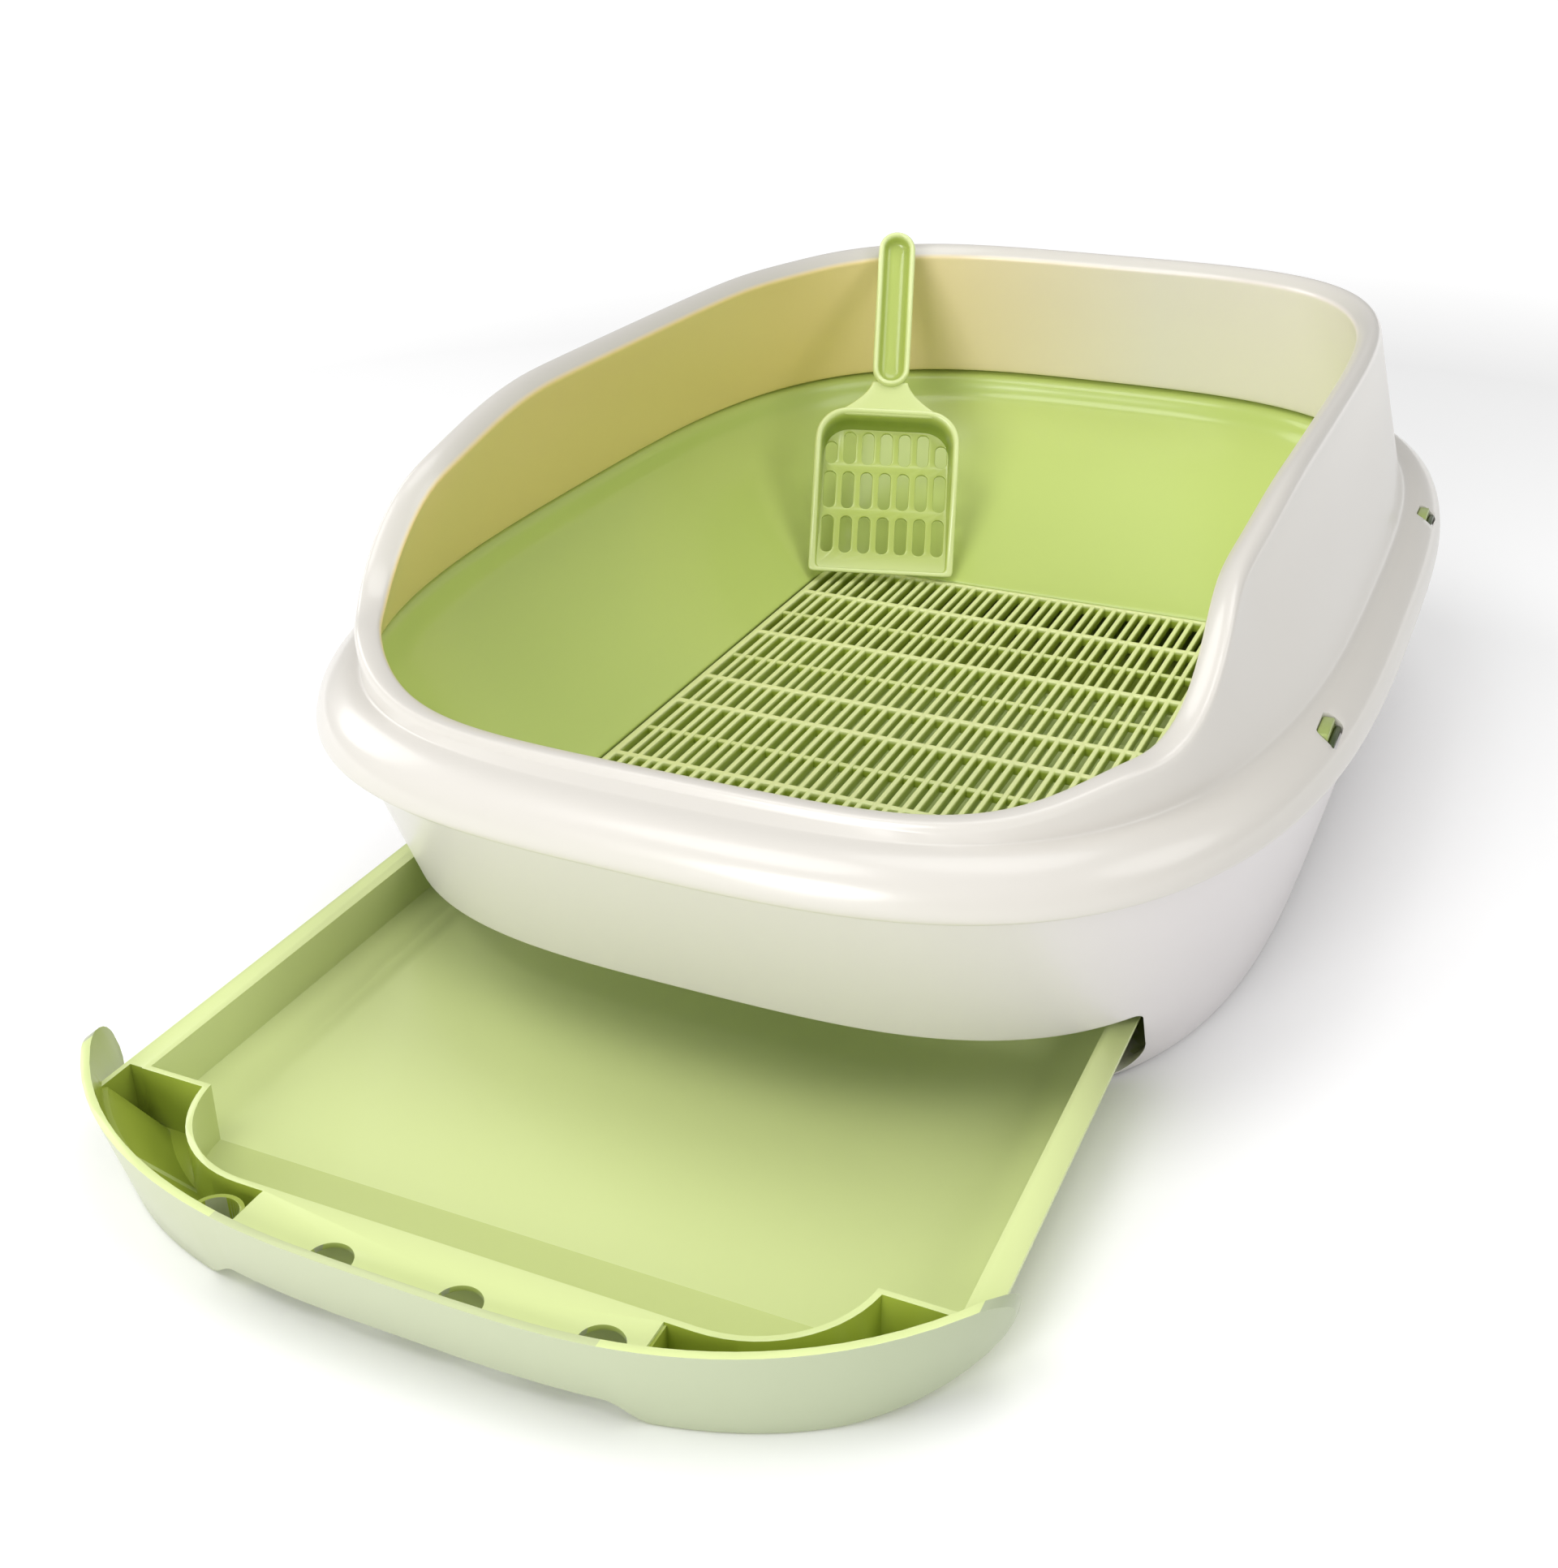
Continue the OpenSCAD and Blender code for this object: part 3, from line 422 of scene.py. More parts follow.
# %% Make the base
def make_base():
    bm = bmesh.new()
    mark = bm.verts.layers.float.new("base_floor_painted_shade")
    rows = loft(bm, base_rings())
    # The floor inside is marked for its painted green shade.
    mark_rows(rows[-2:], mark)
    cap(bm, rows[0])
    cap(bm, rows[-1])
    shell = new_object("base_shell", bm)
    subdivide(shell, 2)
    opening = opening_cutter()
    cut(shell, [opening])
    round_edges(shell, 0.8)
    settle(shell, [opening])
    finish(shell, white_plastic, "base", "base")


make_base()

# %% [markdown]
# Two upright rails stand on the floor inside and carry the drawer. They are plain blocks, sunk a little into
# the floor so that no gap shows, and they end before the curve of the walls.

# %% Rails
RAIL_T, RAIL_TOP, RAIL_INSET = 2.6, 27.7, 3.6
RAIL_END_GAP, RAIL_SUNK = 13.0, 0.5


def make_rails():
    bm = bmesh.new()
    rail_x = DRAWER_HALF_W - RAIL_INSET
    half_l = half_width_at(rail_x + abs(DRAWER_X), BASE_HALF_L, BASE_HALF_W, BASE_POWER) - RAIL_END_GAP
    for side in (-1, 1):
        middle = DRAWER_X + side * rail_x
        box_points(bm, (middle - RAIL_T / 2, -half_l, BASE_WALL - RAIL_SUNK),
                   (middle + RAIL_T / 2, half_l, RAIL_TOP))
    rails = new_object("base_rails", bm)
    round_edges(rails, 0.6)
    settle(rails)
    finish(rails, white_plastic, "base", None)


make_rails()

# %% [markdown]
# ## Sieve tub
# The tub is a long green bowl that hangs in the base by its flange. Its wall starts at the nearly square edge
# of the slotted floor, rounds outward and ends under the splash frame as an oval. A loft can change its
# outline on the way up, so one loft makes the whole bowl, its flange and its wall thickness.

# %% Measures of the tub
TUB_HALF_W, TUB_HALF_L, TUB_AHEAD = 188.3, 289.0, 11.0
TUB_WALL, TUB_TOP_Z, TUB_IN_W, TUB_IN_L = 1.84, 110.0, 3.5, 5.0
SKIRT_HALF_W, SKIRT_HALF_L, SKIRT_Z = 209.5, 320.0, 107.7
FRAME_SEAT_Z = 124.1
FLOOR_POWER = 22.0
SIEVE_Z, SIEVE_T, SIEVE_AHEAD = 37.0, 4.0, 34.6
SLOT_COLS, SLOT_ROWS = 39, 11
SLOT_PITCH, SLOT_STEP, SLAT_W = 6.08, 0.72, 2.3
ROW_PITCH, RIB_W = 31.5, 3.2
SLAT_DEPTH = 6.0
SIEVE_W = SLOT_COLS * SLOT_PITCH
SIEVE_L = SLOT_ROWS * ROW_PITCH + 20.0
SIEVE_MARGIN = 3.0
TUB_STEPS = (0.0, 0.04, 0.12, 0.3, 0.5, 0.7, 0.86, 0.95, 1.0)


def seam_ring(out, height):
    return ring(TUB_HALF_W + out, TUB_HALF_L + out, height, TOP_POWER, -TUB_AHEAD)


def skirt_ring(inset, height):
    return ring(SKIRT_HALF_W - inset, SKIRT_HALF_L - inset, height, TOP_POWER)


def tub_ring(share, inset, drop):
    half_w = mix(SIEVE_W / 2 + SIEVE_MARGIN, TUB_HALF_W - TUB_IN_W, share) + inset
    half_l = mix(SIEVE_L / 2 + SIEVE_MARGIN, TUB_HALF_L - TUB_IN_L, share) + inset
    power = 1 / mix(1 / FLOOR_POWER, 1 / TOP_POWER, share ** 0.6)
    height = mix(SIEVE_Z, TUB_TOP_Z, share ** 1.2) - drop
    return ring(half_w, half_l, height, power, mix(-SIEVE_AHEAD, -TUB_AHEAD, share))


def make_tub_shell():
    outside = [tub_ring(t, TUB_WALL, SIEVE_T if t == 0 else TUB_WALL) for t in TUB_STEPS]
    # The flange: out over the edge of the base, up, and back in to the bowl.
    edge = [seam_ring(-1.6, 114), seam_ring(0.8, 118.3), skirt_ring(7.8, 118.3), skirt_ring(7.8, 120.8),
            skirt_ring(13, 122.9), skirt_ring(14.5, 123.8), seam_ring(-0.6, 123.8), seam_ring(-2.2, 115)]
    inside = [tub_ring(t, 0, 0) for t in reversed(TUB_STEPS)]
    bm = bmesh.new()
    rows = loft(bm, outside + edge + inside)
    bridge(bm, rows[0], rows[-1])
    shell = new_object("sieve_tub_shell", bm)
    subdivide(shell, 2)
    settle(shell)
    finish(shell, tub_plastic, "sieve_tub", "sieve_tub")


make_tub_shell()

# %% [markdown]
# The slotted floor lets clean litter fall through. Hundreds of Boolean cuts would be slow, so the floor is a
# grid whose lines run along the edges of the slots. The faces in the slots are deleted, what is left gets its
# thickness, and a small bevel rounds every slat as the mould does.

# %% Lines of the slotted floor
FLOOR_EDGE, FLOOR_DROP = 2.5, 0.2


def rib_y(k):
    return (k - SLOT_ROWS / 2) * ROW_PITCH


def is_low(k):
    """Whether a cross rib is one of those that lie below the slats."""
    return 0 < k < SLOT_ROWS and (abs(k - SLOT_ROWS / 2) - 0.5) % 2 == 1


def floor_lines():
    across = [-SIEVE_W / 2 - FLOOR_EDGE]
    for column in range(-(SLOT_COLS // 2), SLOT_COLS // 2 + 1):
        step = -SLOT_STEP if column % 2 == 0 else SLOT_STEP
        half = (SLOT_PITCH - SLAT_W + step) / 2
        across += [column * SLOT_PITCH - half, column * SLOT_PITCH + half]
    across.append(SIEVE_W / 2 + FLOOR_EDGE)
    along = [-SIEVE_L / 2 - FLOOR_EDGE, -SIEVE_L / 2]
    for k in range(1, SLOT_ROWS):
        if not is_low(k):
            along += [rib_y(k) - RIB_W / 2, rib_y(k) + RIB_W / 2]
    along += [SIEVE_L / 2, SIEVE_L / 2 + FLOOR_EDGE]
    return across, along


print("lines across and along", [len(lines) for lines in floor_lines()])

# %% Slotted floor
def make_sieve_floor():
    across, along = floor_lines()
    bm = bmesh.new()
    grid = bmesh.ops.create_grid(bm, x_segments=len(across) - 1, y_segments=len(along) - 1, size=1.0)
    verts = grid["verts"]
    columns = sorted({round(v.co.x, 5) for v in verts})
    lines = sorted({round(v.co.y, 5) for v in verts})
    for v in verts:
        v.co.x = across[min(range(len(columns)), key=lambda i: abs(columns[i] - v.co.x))]
        v.co.y = along[min(range(len(lines)), key=lambda i: abs(lines[i] - v.co.y))]
    slots = []
    for face in bm.faces:
        middle = face.calc_center_median()
        column = sum(1 for x in across if x < middle.x)
        line = sum(1 for y in along if y < middle.y)
        if column % 2 == 0 and line % 2 == 0:
            slots.append(face)
    bmesh.ops.delete(bm, geom=slots, context="FACES")
    made = bmesh.ops.extrude_face_region(bm, geom=bm.faces[:])["geom"]
    top = [g for g in made if isinstance(g, bmesh.types.BMVert)]
    bmesh.ops.translate(bm, vec=(0, 0, SLAT_DEPTH), verts=top)
    bmesh.ops.translate(bm, vec=(0, -SIEVE_AHEAD, SIEVE_Z - FLOOR_DROP - SLAT_DEPTH), verts=bm.verts)
    floor = new_object("sieve_floor", bm)
    round_edges(floor, 0.75, segments=3)
    settle(floor)
    finish(floor, slat_plastic, "sieve_tub", None)
    print("slots", len(slots))


make_sieve_floor()

# %% [markdown]
# Four of the cross ribs lie lower than the slats, so that the slots above them look twice as long. They are
# blocks that run through the slats, with their tops a millimetre below the floor's.

# %% Low ribs
LOW_RIB_FOOT, LOW_RIB_TOP, LOW_RIB_END = 31.7, 35.8, 0.8


def make_low_ribs():
    bm = bmesh.new()
    half_l = SIEVE_W / 2 + LOW_RIB_END
    for k in range(1, SLOT_ROWS):
        if is_low(k):
            y = rib_y(k) - SIEVE_AHEAD
            box_points(bm, (-half_l, y - RIB_W / 2, LOW_RIB_FOOT), (half_l, y + RIB_W / 2, LOW_RIB_TOP))
    ribs = new_object("sieve_low_ribs", bm)
    round_edges(ribs, 0.6)
    settle(ribs)
    finish(ribs, slat_plastic, "sieve_tub", None)


make_low_ribs()

# %% [markdown]
# ## Splash frame
# The frame is one wall that folds over: a skirt outside the base, a round bead, a wall that rises from low at
# the front to high at the back, and a rolled lip. The rings of a loft needn't be flat. Here the rim gets its
# height from its place along the box, so that the same loft makes the high back.

# %% Measures of the frame
RIM_HALF_W, RIM_HALF_L, RIM_AHEAD, RIM_POWER = 157.0, 271.0, 17.5, 4.0
BEAD = ((0, 0), (0.3, 4), (1.5, 8.5), (3.4, 12), (6, 14.6), (9.5, 17.2), (13.5, 18.6))
BEAD_INNER = ((14.5, 16.4), (10, 14.9), (7.6, 13.4), (5.6, 11), (4.2, 8), (3.1, 4), (2.8, 0))
CREASE_OUT, CREASE_Z, LEDGE_OUT = 3.0, 127.0, 1.2
# The lip's section: share of its width outward, share of its rise, and a fixed drop in millimetres.
LIP = ((1.0, 0.0, 2.4), (0.93, 0.45, 0), (0.74, 0.93, 0), (0.52, 1.0, 0), (0.28, 0.6, 0), (0.1, 0.1, 0),
       (0, 0, 1.2))


def rim_height(y):
    """The top of the wall at a place along the box: low in front, then up over the shoulders."""
    front = mix(132, 145, ease((y + 288.5) / 46)) + 38 * ease((y + 236) / 58)
    return front + 15 * ease((y + 205) / 115) - 2 * ease((y - 100) / 80)


def lip_width(y):
    return mix(8, 12, ease((y + 270) / 80))


def lip_rise(y):
    return mix(0.8, 5.0, ease((y + 240) / 90))


def rim_flare(y):
    """How much wider the rim is where it is low, because the wall under it leans inward."""
    return 13 * (1 - ease((y + 225) / 62))


def rim_ring(outward, rise, drop):
    points = []
    for i in range(RING_N):
        y = oval(i, RIM_HALF_W, RIM_HALF_L, RIM_POWER, -RIM_AHEAD)[1]
        width, half_w = lip_width(y) * outward, RIM_HALF_W + rim_flare(y)
        out_x, out_y = oval(i, half_w + width, RIM_HALF_L + width, RIM_POWER, -RIM_AHEAD)
        points.append(Vector((out_x, out_y, rim_height(y) + lip_rise(y) * rise - drop)))
    return points


print("rim height, front and back", [round(rim_height(y), 1) for y in (-RIM_HALF_L - RIM_AHEAD, RIM_HALF_L)])

# %% [markdown]
# Four slots in the bead show where the frame snaps on. Each is cut by a block with round upright corners,
# after the wall has been subdivided, so that the wall round it stays smooth.

# %% Clip slots
CLIP_L, CLIP_W, CLIP_GAP = 18.0, 8.0, 0.8
CLIP_INSET = CLIP_W / 2 + 4.2
CLIP_YS = (174.0 - SKIRT_HALF_L, SKIRT_HALF_L - 208.0)
CLIP_CUT_FROM, CLIP_CUT_TO, CLIP_CORNER = SKIRT_Z + 5.2, SKIRT_Z + 27.2, 2.5


def clip_cutters():
    cutters = []
    for side in (-1, 1):
        for y in CLIP_YS:
            middle = side * (half_width_at(y, SKIRT_HALF_W, SKIRT_HALF_L, TOP_POWER) - CLIP_INSET)
            bm = bmesh.new()
            box_points(bm, (middle - CLIP_W / 2, y - CLIP_L / 2, CLIP_CUT_FROM),
                       (middle + CLIP_W / 2, y + CLIP_L / 2, CLIP_CUT_TO))
            upright = [e for e in bm.edges if abs(e.verts[0].co.z - e.verts[1].co.z) > 5]
            bevel_edges(bm, upright, CLIP_CORNER)
            cutters.append(new_object("clip_cutter", bm))
    return cutters


# %% Make the frame
def make_splash_frame():
    crease = seam_ring(CREASE_OUT, CREASE_Z)
    lip = [rim_ring(*place) for place in LIP]
    lip_outer, lip_inner = lip[0], lip[-1]
    seam_in = seam_ring(0, FRAME_SEAT_Z)
    rings = [skirt_ring(inset, SKIRT_Z + up) for inset, up in BEAD] + [crease]
    rings += [mix_rings(crease, lip_outer, t) for t in (0.12, 0.35, 0.65, 0.9)]
    rings += lip + [mix_rings(lip_inner, seam_in, 0.03)]
    inner_from = len(rings) - 2
    rings += [mix_rings(lip_inner, seam_in, t) for t in (0.05, 0.5, 0.85)]
    rings += [seam_in, seam_ring(LEDGE_OUT, FRAME_SEAT_Z)]
    inner_to = len(rings)
    rings += [skirt_ring(inset, SKIRT_Z + up) for inset, up in BEAD_INNER]
    bm = bmesh.new()
    mark = bm.verts.layers.float.new("inner_face_painted_reflection")
    rows = loft(bm, rings)
    # The inner face is marked for its painted reflection of the green tub.
    mark_rows(rows[inner_from:inner_to], mark)
    bridge(bm, rows[0], rows[-1])
    shell = new_object("splash_frame_shell", bm)
    subdivide(shell, 2)
    cutters = clip_cutters()
    cut(shell, cutters)
    round_edges(shell, 0.6)
    settle(shell, cutters)
    finish(shell, frame_plastic, "splash_frame", "splash_frame")


make_splash_frame()

# %% [markdown]
# In each slot lies a tongue of the green tub, with a dark gap beside it. A low block with a painted shade
# stands for the bottom of that gap, because a gap this small wouldn't look dark by its shadow alone. The
# tongue gets a lighter painted shade.

# %% Clip tongues
TONGUE_W, WELL_W = 4.6, 2.6
TONGUE_FOOT, TONGUE_TOP, WELL_TOP = 118.7, 124.3, 121.0


def make_clip_tongues():
    bm = bmesh.new()
    deep = bm.verts.layers.float.new("painted_shade")
    half_l = CLIP_L / 2 - CLIP_GAP
    for side in (-1, 1):
        for y in CLIP_YS:
            edge = half_width_at(y, SKIRT_HALF_W, SKIRT_HALF_L, TOP_POWER)
            x = side * (edge - CLIP_INSET - CLIP_W / 2 + TONGUE_W / 2)
            tongue = box_points(bm, (x - TONGUE_W / 2, y - half_l, TONGUE_FOOT),
                                (x + TONGUE_W / 2, y + half_l, TONGUE_TOP))
            mark_rows([tongue], deep, 0.4)
            x += side * (TONGUE_W + WELL_W) / 2
            well = box_points(bm, (x - WELL_W / 2, y - CLIP_L / 2, TONGUE_FOOT),
                              (x + WELL_W / 2, y + CLIP_L / 2, WELL_TOP))
            mark_rows([well], deep)
    tongues = new_object("clip_tongues", bm)
    round_edges(tongues, 0.8)
    settle(tongues)
    finish(tongues, tub_plastic, "sieve_tub", None)


make_clip_tongues()

# %% [markdown]
# ## Drawer
# The drawer catches the clean litter. The measured drawer already has the right outlines and walls, so it
# isn't drawn again: a copy of it is merged into one skin, its flat triangles are joined into faces, and its
# edges are rounded as a mould leaves them. Its front's outside gets a painted sheen that turns to painted
# shade towards the right, and its deep pockets get painted shade. Each face is told apart by its place and by
# the way it looks.

# %% Marks on the drawer
DRAWER_OUT = 165.0
FACE_X, FACE_W, FACE_L, FACE_POWER = -7.0, 202.0, 281.2, 3.1
FRONT_LEAN, EAR_H, TRAY_SHOULDER, WEB_HALF_W, EAR_FROM = 0.24, 40.0, -220.7, 71.0, 178.0
BAND_L, WEB_FROM_Z, POCKET_TO_Z = 35.0, 29.0, 29.5


def drawer_marks(bm):
    """Mark a painted sheen on the drawer front's outside, and painted shade in the deep pockets behind it."""
    bm.normal_update()
    outer, deep = bm.faces.layers.float.new("outer_face_painted_sheen"), bm.faces.layers.float.new("painted_shade")
    for face in bm.faces:
        middle, normal = face.calc_center_median(), face.normal
        x, z = middle.x - DRAWER_X - FACE_X, middle.z
        y = middle.y + DRAWER_OUT - FRONT_LEAN * (EAR_H - z)
        level = (abs(x) / FACE_W) ** FACE_POWER + (abs(y) / FACE_L) ** FACE_POWER
        away = Vector((math.copysign(abs(x / FACE_W) ** (FACE_POWER - 1) / FACE_W, x),
                       math.copysign(abs(y / FACE_L) ** (FACE_POWER - 1) / FACE_L, y), 0)).normalized()
        faces_out = normal.dot(away)
        in_web, on_skin = abs(x + FACE_X) < WEB_HALF_W, level > 0.9
        if y > TRAY_SHOULDER + BAND_L:
            continue
        if faces_out > 0.25 and (level > 0.93 or (level > 0.7 and normal.z < -0.25)):
            face[outer] = 1.0  # The outside of the front, and the leaning face under it.
        elif normal.z > 0.9 and z > WEB_FROM_Z and in_web and y < TRAY_SHOULDER - 30:
            face[outer] = 0.55  # The flat web in the middle.
        elif faces_out < -0.2 and on_skin and z > 8:
            if abs(x) > EAR_FROM:
                face[outer] = 0.9  # The back of a raised end.
            elif not in_web:
                face[deep] = 1.0  # The back of the front, over a pocket.
        elif z < POCKET_TO_Z and y < TRAY_SHOULDER + 4:
            # The pockets, with the deepest painted shade on their walls and the outer part of their floor.
            walled = (faces_out > 0.2 and level < 0.93) or (faces_out < -0.2 and on_skin)
            floored = normal.z > 0.7 and z < 10 and level > 0.78
            in_pocket = walled or floored or on_skin
            face[deep] = (0.55 if in_web else 1.0) if in_pocket else 0.35
        elif normal.z > 0.5 and 4.5 < z < 12:
            face[deep] = 0.35  # The sloped band behind the front.


# %% Rounded copy
def make_drawer():
    bm = bmesh.new()
    bm.from_mesh(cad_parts["drawer"].data)
    bmesh.ops.scale(bm, vec=(1 / MM, 1 / MM, 1 / MM), verts=bm.verts)
    bmesh.ops.remove_doubles(bm, verts=bm.verts, dist=0.01)
    bmesh.ops.dissolve_limit(bm, angle_limit=math.radians(1.0), verts=bm.verts, edges=bm.edges)
    drawer_marks(bm)
    tray = new_object("drawer_tray", bm)
    round_edges(tray, 0.7, angle=30.0)
    settle(tray)
    finish(tray, drawer_plastic, "drawer", "drawer")


make_drawer()

# %% [markdown]
# ## Scoop
# The scoop stands loose in the tub and leans on the rim. It is easier to draw upright, with its hollow side
# towards negative Y, and to lean it back and turn it into its corner afterwards. Its pan is a loop of wall
# round a slotted plate, and the wall is a loft whose rings stand upright.

# %% Measures of the scoop
SCOOP_HALF_W, SCOOP_L, SCOOP_D, SCOOP_CORNER = 40.5, 92.0, 15.0, 18.0
SCOOP_PLACE = (Matrix.Translation((-85.96, 136.95, 40.2)) @ Matrix.Rotation(math.radians(22.8), 4, "Z")
               @ Matrix.Rotation(math.radians(-33.62), 4, "X") @ Matrix.Rotation(math.radians(2.6), 4, "Y"))
SCOOP_SLOT_W, SCOOP_SLOT_PITCH = 6.6, 10.3
SCOOP_ROWS = ((11.5, 32.5), (37.0, 58.0), (62.5, 81.0))
HANDLE_HALF_W, HANDLE_FROM, HANDLE_TO = 10.5, 104.0, 194.0
# The pan's section: inset from the outline, share of the wall's depth, and how far the top end slopes in.
PAN_SECTION = ((5.6, 0.0, 5), (2.4, 0.0, 4), (0.9, 0.12, 3), (0.2, 0.5, 1.5), (0, 0.85, 0.4), (0.4, 0.98, 0),
               (1.8, 1.03, 0), (3.3, 0.98, 0), (4.0, 0.85, 0.3), (4.5, 0.5, 1.5), (5.0, 0.2, 3),
               (5.6, 0.15, 4.5))
# The handle's section: inset from the outline, and depth.
HANDLE_SECTION = ((8.5, 8.9), (3.2, 8.9), (1.2, 9.8), (0.3, 12.0), (0, 15.4), (0.6, 17.0), (1.8, 17.6),
                  (3.0, 16.8), (3.7, 15.0), (4.6, 12.8), (6.4, 11.6), (8.8, 11.3))


def corner_arc(middle_x, middle_z, radius, from_turn, steps):
    turns = [math.radians(from_turn + 90.0 * i / steps) for i in range(steps + 1)]
    return [(middle_x + radius * math.cos(t), middle_z + radius * math.sin(t)) for t in turns]


def pan_ring(inset, depth_share, slope):
    half_w, top, foot = SCOOP_HALF_W - inset, SCOOP_L - inset - slope, inset * 0.6
    corner, small = SCOOP_CORNER - inset * 0.7, 2.5
    side = [mix(foot + small, top - corner, i / 8) for i in range(1, 8)]
    across = [mix(-half_w + small, half_w - small, i / 8) for i in range(1, 8)]
    over = [mix(half_w - corner, -half_w + corner, i / 6) for i in range(1, 6)]
    outline = corner_arc(-half_w + small, foot + small, small, 180, 3) + [(x, foot) for x in across]
    outline += corner_arc(half_w - small, foot + small, small, 270, 3) + [(half_w, z) for z in side]
    outline += corner_arc(half_w - corner, top - corner, corner, 0, 7) + [(x, top) for x in over]
    outline += corner_arc(-half_w + corner, top - corner, corner, 90, 7)
    outline += [(-half_w, z) for z in reversed(side)]
    return [Vector((x, -depth_share * (3.6 + (SCOOP_D - 3.6) * ease(z / 60.0)), z)) for x, z in outline]


def handle_ring(inset, depth):
    half_w = HANDLE_HALF_W - inset
    low, high = HANDLE_FROM + HANDLE_HALF_W, HANDLE_TO - HANDLE_HALF_W
    side = [mix(low, high, i / 7) for i in range(1, 7)]
    outline = corner_arc(0, high, half_w, 0, 6) + corner_arc(0, high, half_w, 90, 6)[1:]
    outline += [(-half_w, z) for z in reversed(side)]
    outline += corner_arc(0, low, half_w, 180, 6) + corner_arc(0, low, half_w, 270, 6)[1:]
    outline += [(half_w, z) for z in side]
    return [Vector((x, -depth, z)) for x, z in outline]


def stand_scoop(bm):
    bmesh.ops.transform(bm, matrix=SCOOP_PLACE, verts=bm.verts)


print("scoop length", HANDLE_TO, "mm")

# %% Pan of the scoop
def make_scoop_pan():
    bm = bmesh.new()
    bright = bm.verts.layers.float.new("painted_highlight")
    deep = bm.verts.layers.float.new("painted_shade")
    rows = loft(bm, [pan_ring(*place) for place in PAN_SECTION])
    # The rim gets a painted highlight, and the wall under the top end a painted shadow that grows towards the
    # top.
    mark_rows(rows[4:8], bright)
    for row in rows[9:12]:
        for vert in row:
            vert[deep] = 0.75 * ease((vert.co.z - 45.0) / 30.0)
    bridge(bm, rows[0], rows[-1])
    stand_scoop(bm)
    pan = new_object("scoop_pan", bm)
    subdivide(pan, 1)
    settle(pan)
    finish(pan, scoop_plastic, "scoop", "scoop")


make_scoop_pan()

# %% [markdown]
# The plate of the scoop has three rows of slots with round ends, and the two outer slots of the last row are
# shorter because the pan's corners are round. All the slots are boxes in one cutter, so that one Boolean
# cuts them.

# %% Slotted plate of the scoop
PLATE_HALF_W, PLATE_T, PLATE_FROM, PLATE_TO, PLATE_CORNER = 37.0, 2.2, 1.5, 86.0, 12.0
SLOT_END_R, SLOT_CUT_FROM, SLOT_CUT_TO = 3.0, -6.0, 4.0
OUTER_COLUMN, OUTER_SHORTER = 3, 6.0


def along_depth(bm, above=-1e6):
    """The edges that run through the plate, from its front to its back."""
    return [e for e in bm.edges if abs(e.verts[0].co.y - e.verts[1].co.y) > 1.0 and e.verts[0].co.z > above]


def make_scoop_floor():
    bm = bmesh.new()
    bright = bm.verts.layers.float.new("painted_highlight")
    plate = box_points(bm, (-PLATE_HALF_W, -PLATE_T, PLATE_FROM), (PLATE_HALF_W, 0.0, PLATE_TO))
    # The whole plate gets a painted highlight.
    mark_rows([plate], bright)
    bevel_edges(bm, along_depth(bm, above=80.0), PLATE_CORNER, 5)
    stand_scoop(bm)
    floor = new_object("scoop_floor", bm)
    bm = bmesh.new()
    for column in range(-OUTER_COLUMN, OUTER_COLUMN + 1):
        x = column * SCOOP_SLOT_PITCH
        for low, high in SCOOP_ROWS:
            if abs(column) == OUTER_COLUMN and (low, high) == SCOOP_ROWS[-1]:
                high -= OUTER_SHORTER
            box_points(bm, (x - SCOOP_SLOT_W / 2, SLOT_CUT_FROM, low),
                       (x + SCOOP_SLOT_W / 2, SLOT_CUT_TO, high))
    bevel_edges(bm, along_depth(bm), SLOT_END_R)
    stand_scoop(bm)
    slots = new_object("scoop_slot_cutter", bm)
    cut(floor, [slots])
    round_edges(floor, 0.4)
    settle(floor, [slots])
    finish(floor, scoop_plastic, "scoop", None)


make_scoop_floor()

# %% [markdown]
# The handle is a deep channel with rolled edges and round ends. Like the pan it is one loft, from the middle
# of its back, over the edge and down into the channel.

# %% Handle of the scoop
def make_scoop_handle():
    bm = bmesh.new()
    bright = bm.verts.layers.float.new("painted_highlight")
    deep = bm.verts.layers.float.new("painted_shade")
    rows = loft(bm, [handle_ring(*place) for place in HANDLE_SECTION])
    # The rolled edge gets a painted highlight, and the channel below it a light painted shade.
    mark_rows(rows[4:8], bright)
    mark_rows(rows[9:11], deep, 0.2)
    cap(bm, rows[0])
    cap(bm, rows[-1])
    stand_scoop(bm)
    handle = new_object("scoop_handle", bm)
    subdivide(handle, 1)
    settle(handle)
    finish(handle, scoop_plastic, "scoop", None)


make_scoop_handle()

# %% [markdown]
# A flat neck joins the handle to the pan and spreads out towards it in a curve. A small grid is drawn in
# along that curve, and is then given its thickness.

# %% Neck of the scoop
NECK_FROM, NECK_TO, NECK_HALF_W, NECK_SPREAD = 87.5, 107.5, 10.0, 21.6
NECK_DEPTH, NECK_T = 11.0, 3.2


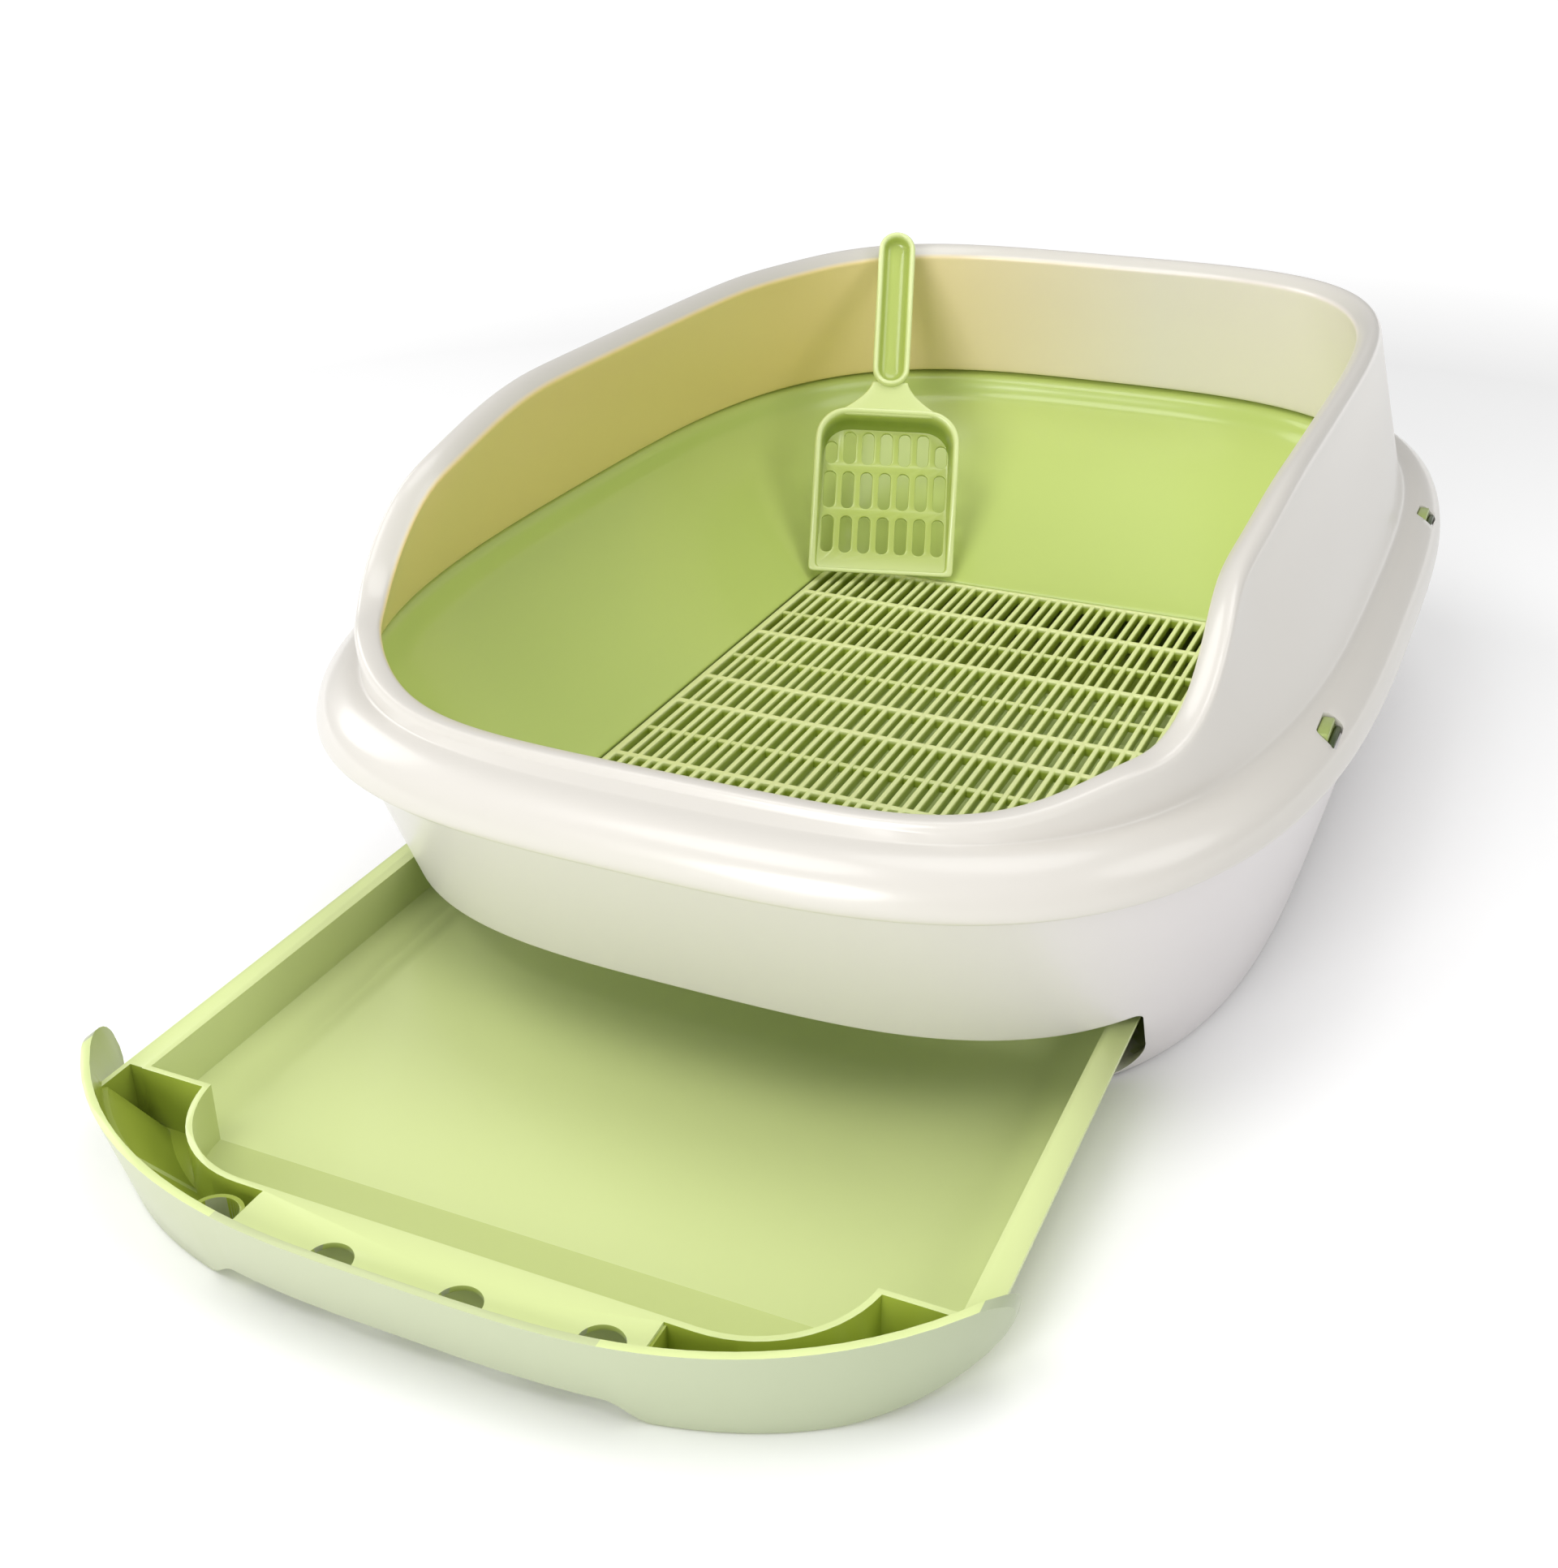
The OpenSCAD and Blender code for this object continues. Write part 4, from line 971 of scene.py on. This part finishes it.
def make_scoop_neck():
    bm = bmesh.new()
    bright = bm.verts.layers.float.new("painted_highlight")
    verts = bmesh.ops.create_grid(bm, x_segments=4, y_segments=10, size=1.0)["verts"]
    for vert in verts:
        share = (vert.co.y + 1.0) / 2.0
        half_w = NECK_HALF_W + NECK_SPREAD * (1.0 - share) ** 1.7
        vert.co = (vert.co.x * half_w, -NECK_DEPTH, mix(NECK_FROM, NECK_TO, share))
    made = bmesh.ops.extrude_face_region(bm, geom=bm.faces[:])["geom"]
    raised = [g for g in made if isinstance(g, bmesh.types.BMVert)]
    bmesh.ops.translate(bm, vec=(0, -NECK_T, 0), verts=raised)
    # The neck gets most of the painted highlight.
    mark_rows([bm.verts], bright, 0.8)
    stand_scoop(bm)
    neck = new_object("scoop_neck", bm)
    round_edges(neck, 1.2, segments=3)
    settle(neck)
    finish(neck, scoop_plastic, "scoop", None)


make_scoop_neck()

# %% [markdown]
# ## Studio
# The box stands on a plain white floor. A real sheet would show where it ends, so this one is very wide and
# glows more and more away from the box, until it is as white as the surroundings.

# %% Floor
FLOOR_SIZE, FLOOR_GLOW, GLOW_FROM, GLOW_TO = 6000.0, 0.9, 0.9, 2.2


def make_floor():
    bm = bmesh.new()
    bmesh.ops.create_grid(bm, x_segments=1, y_segments=1, size=FLOOR_SIZE)
    floor = new_object("studio_floor", bm)
    material = bpy.data.materials.new("studio_white")
    material.use_nodes = True
    nodes, links = material.node_tree.nodes, material.node_tree.links
    shader = nodes["Principled BSDF"]
    shader.inputs["Base Color"].default_value = (0.93, 0.93, 0.93, 1.0)
    shader.inputs["Roughness"].default_value = 0.9
    shader.inputs["Emission Strength"].default_value = FLOOR_GLOW
    place, reach = nodes.new("ShaderNodeTexCoord"), nodes.new("ShaderNodeVectorMath")
    reach.operation = "LENGTH"
    far = nodes.new("ShaderNodeMapRange")
    far.inputs["From Min"].default_value = GLOW_FROM
    far.inputs["From Max"].default_value = GLOW_TO
    links.new(place.outputs["Object"], reach.inputs[0])
    links.new(reach.outputs["Value"], far.inputs["Value"])
    links.new(far.outputs["Result"], shader.inputs["Emission Color"])
    floor.data.materials.append(material)
    print("floor reaches", FLOOR_SIZE * MM, "m each way")


make_floor()

# %% [markdown]
# One lamp would leave hard shadows in the deep bowl. Five broad round lights share the work: one above the
# left front, one overhead, the strongest in front, and one at each side. Each is turned to face the box.

# %% Lights
def area_light(name, place, target, size, power):
    lamp = bpy.data.lights.new(name, "AREA")
    lamp.shape = "DISK"
    lamp.size = size
    lamp.energy = power
    light = bpy.data.objects.new(name, lamp)
    light.location = place
    light.rotation_euler = (Vector(target) - Vector(place)).to_track_quat("-Z", "Y").to_euler()
    scene.collection.objects.link(light)


area_light("key_light", (-0.5, -1.1, 2.0), (0.0, 0.1, 0.1), 1.0, 11.0)
area_light("top_light", (0.3, 0.1, 2.2), (0.0, 0.05, 0.1), 1.4, 13.3)
area_light("front_light", (-0.2, -2.3, 0.7), (0.0, -0.3, 0.05), 1.2, 29.0)
area_light("right_light", (1.7, 0.1, 1.3), (0.0, 0.0, 0.08), 1.2, 7.5)
area_light("left_light", (-1.9, 0.1, 1.2), (0.0, 0.0, 0.08), 1.2, 12.0)

# %% [markdown]
# White surroundings fill the shadows. At full strength they would wash the box out, so they light it weakly,
# and only the camera sees them pure white.

# %% Surroundings
LIT_STRENGTH, SEEN_STRENGTH = 0.43, 1.0

world = bpy.data.worlds.new("studio_surroundings")
world.use_nodes = True
world_nodes, world_links = world.node_tree.nodes, world.node_tree.links
background = world_nodes["Background"]
background.inputs["Color"].default_value = (1.0, 1.0, 1.0, 1.0)
ray, strength = world_nodes.new("ShaderNodeLightPath"), world_nodes.new("ShaderNodeMapRange")
strength.inputs["To Min"].default_value = LIT_STRENGTH
strength.inputs["To Max"].default_value = SEEN_STRENGTH
world_links.new(ray.outputs["Is Camera Ray"], strength.inputs["Value"])
world_links.new(strength.outputs["Result"], background.inputs["Strength"])
scene.world = world
scene.view_settings.view_transform = "Standard"
print("surroundings", world.name)

# %% [markdown]
# ## Camera
# The view is from above the front, a little to the right, from a little under a metre away.

# %% Camera
camera_data = bpy.data.cameras.new("camera")
camera_data.sensor_width = 36.0
camera_data.lens = 42.484
camera = bpy.data.objects.new("camera", camera_data)
camera.location = (0.2589, -0.7784, 0.412)
camera.rotation_euler = (math.radians(62.716), 0.0, math.radians(23.96))
scene.collection.objects.link(camera)
scene.camera = camera
print("camera at", [round(c, 3) for c in camera.location])
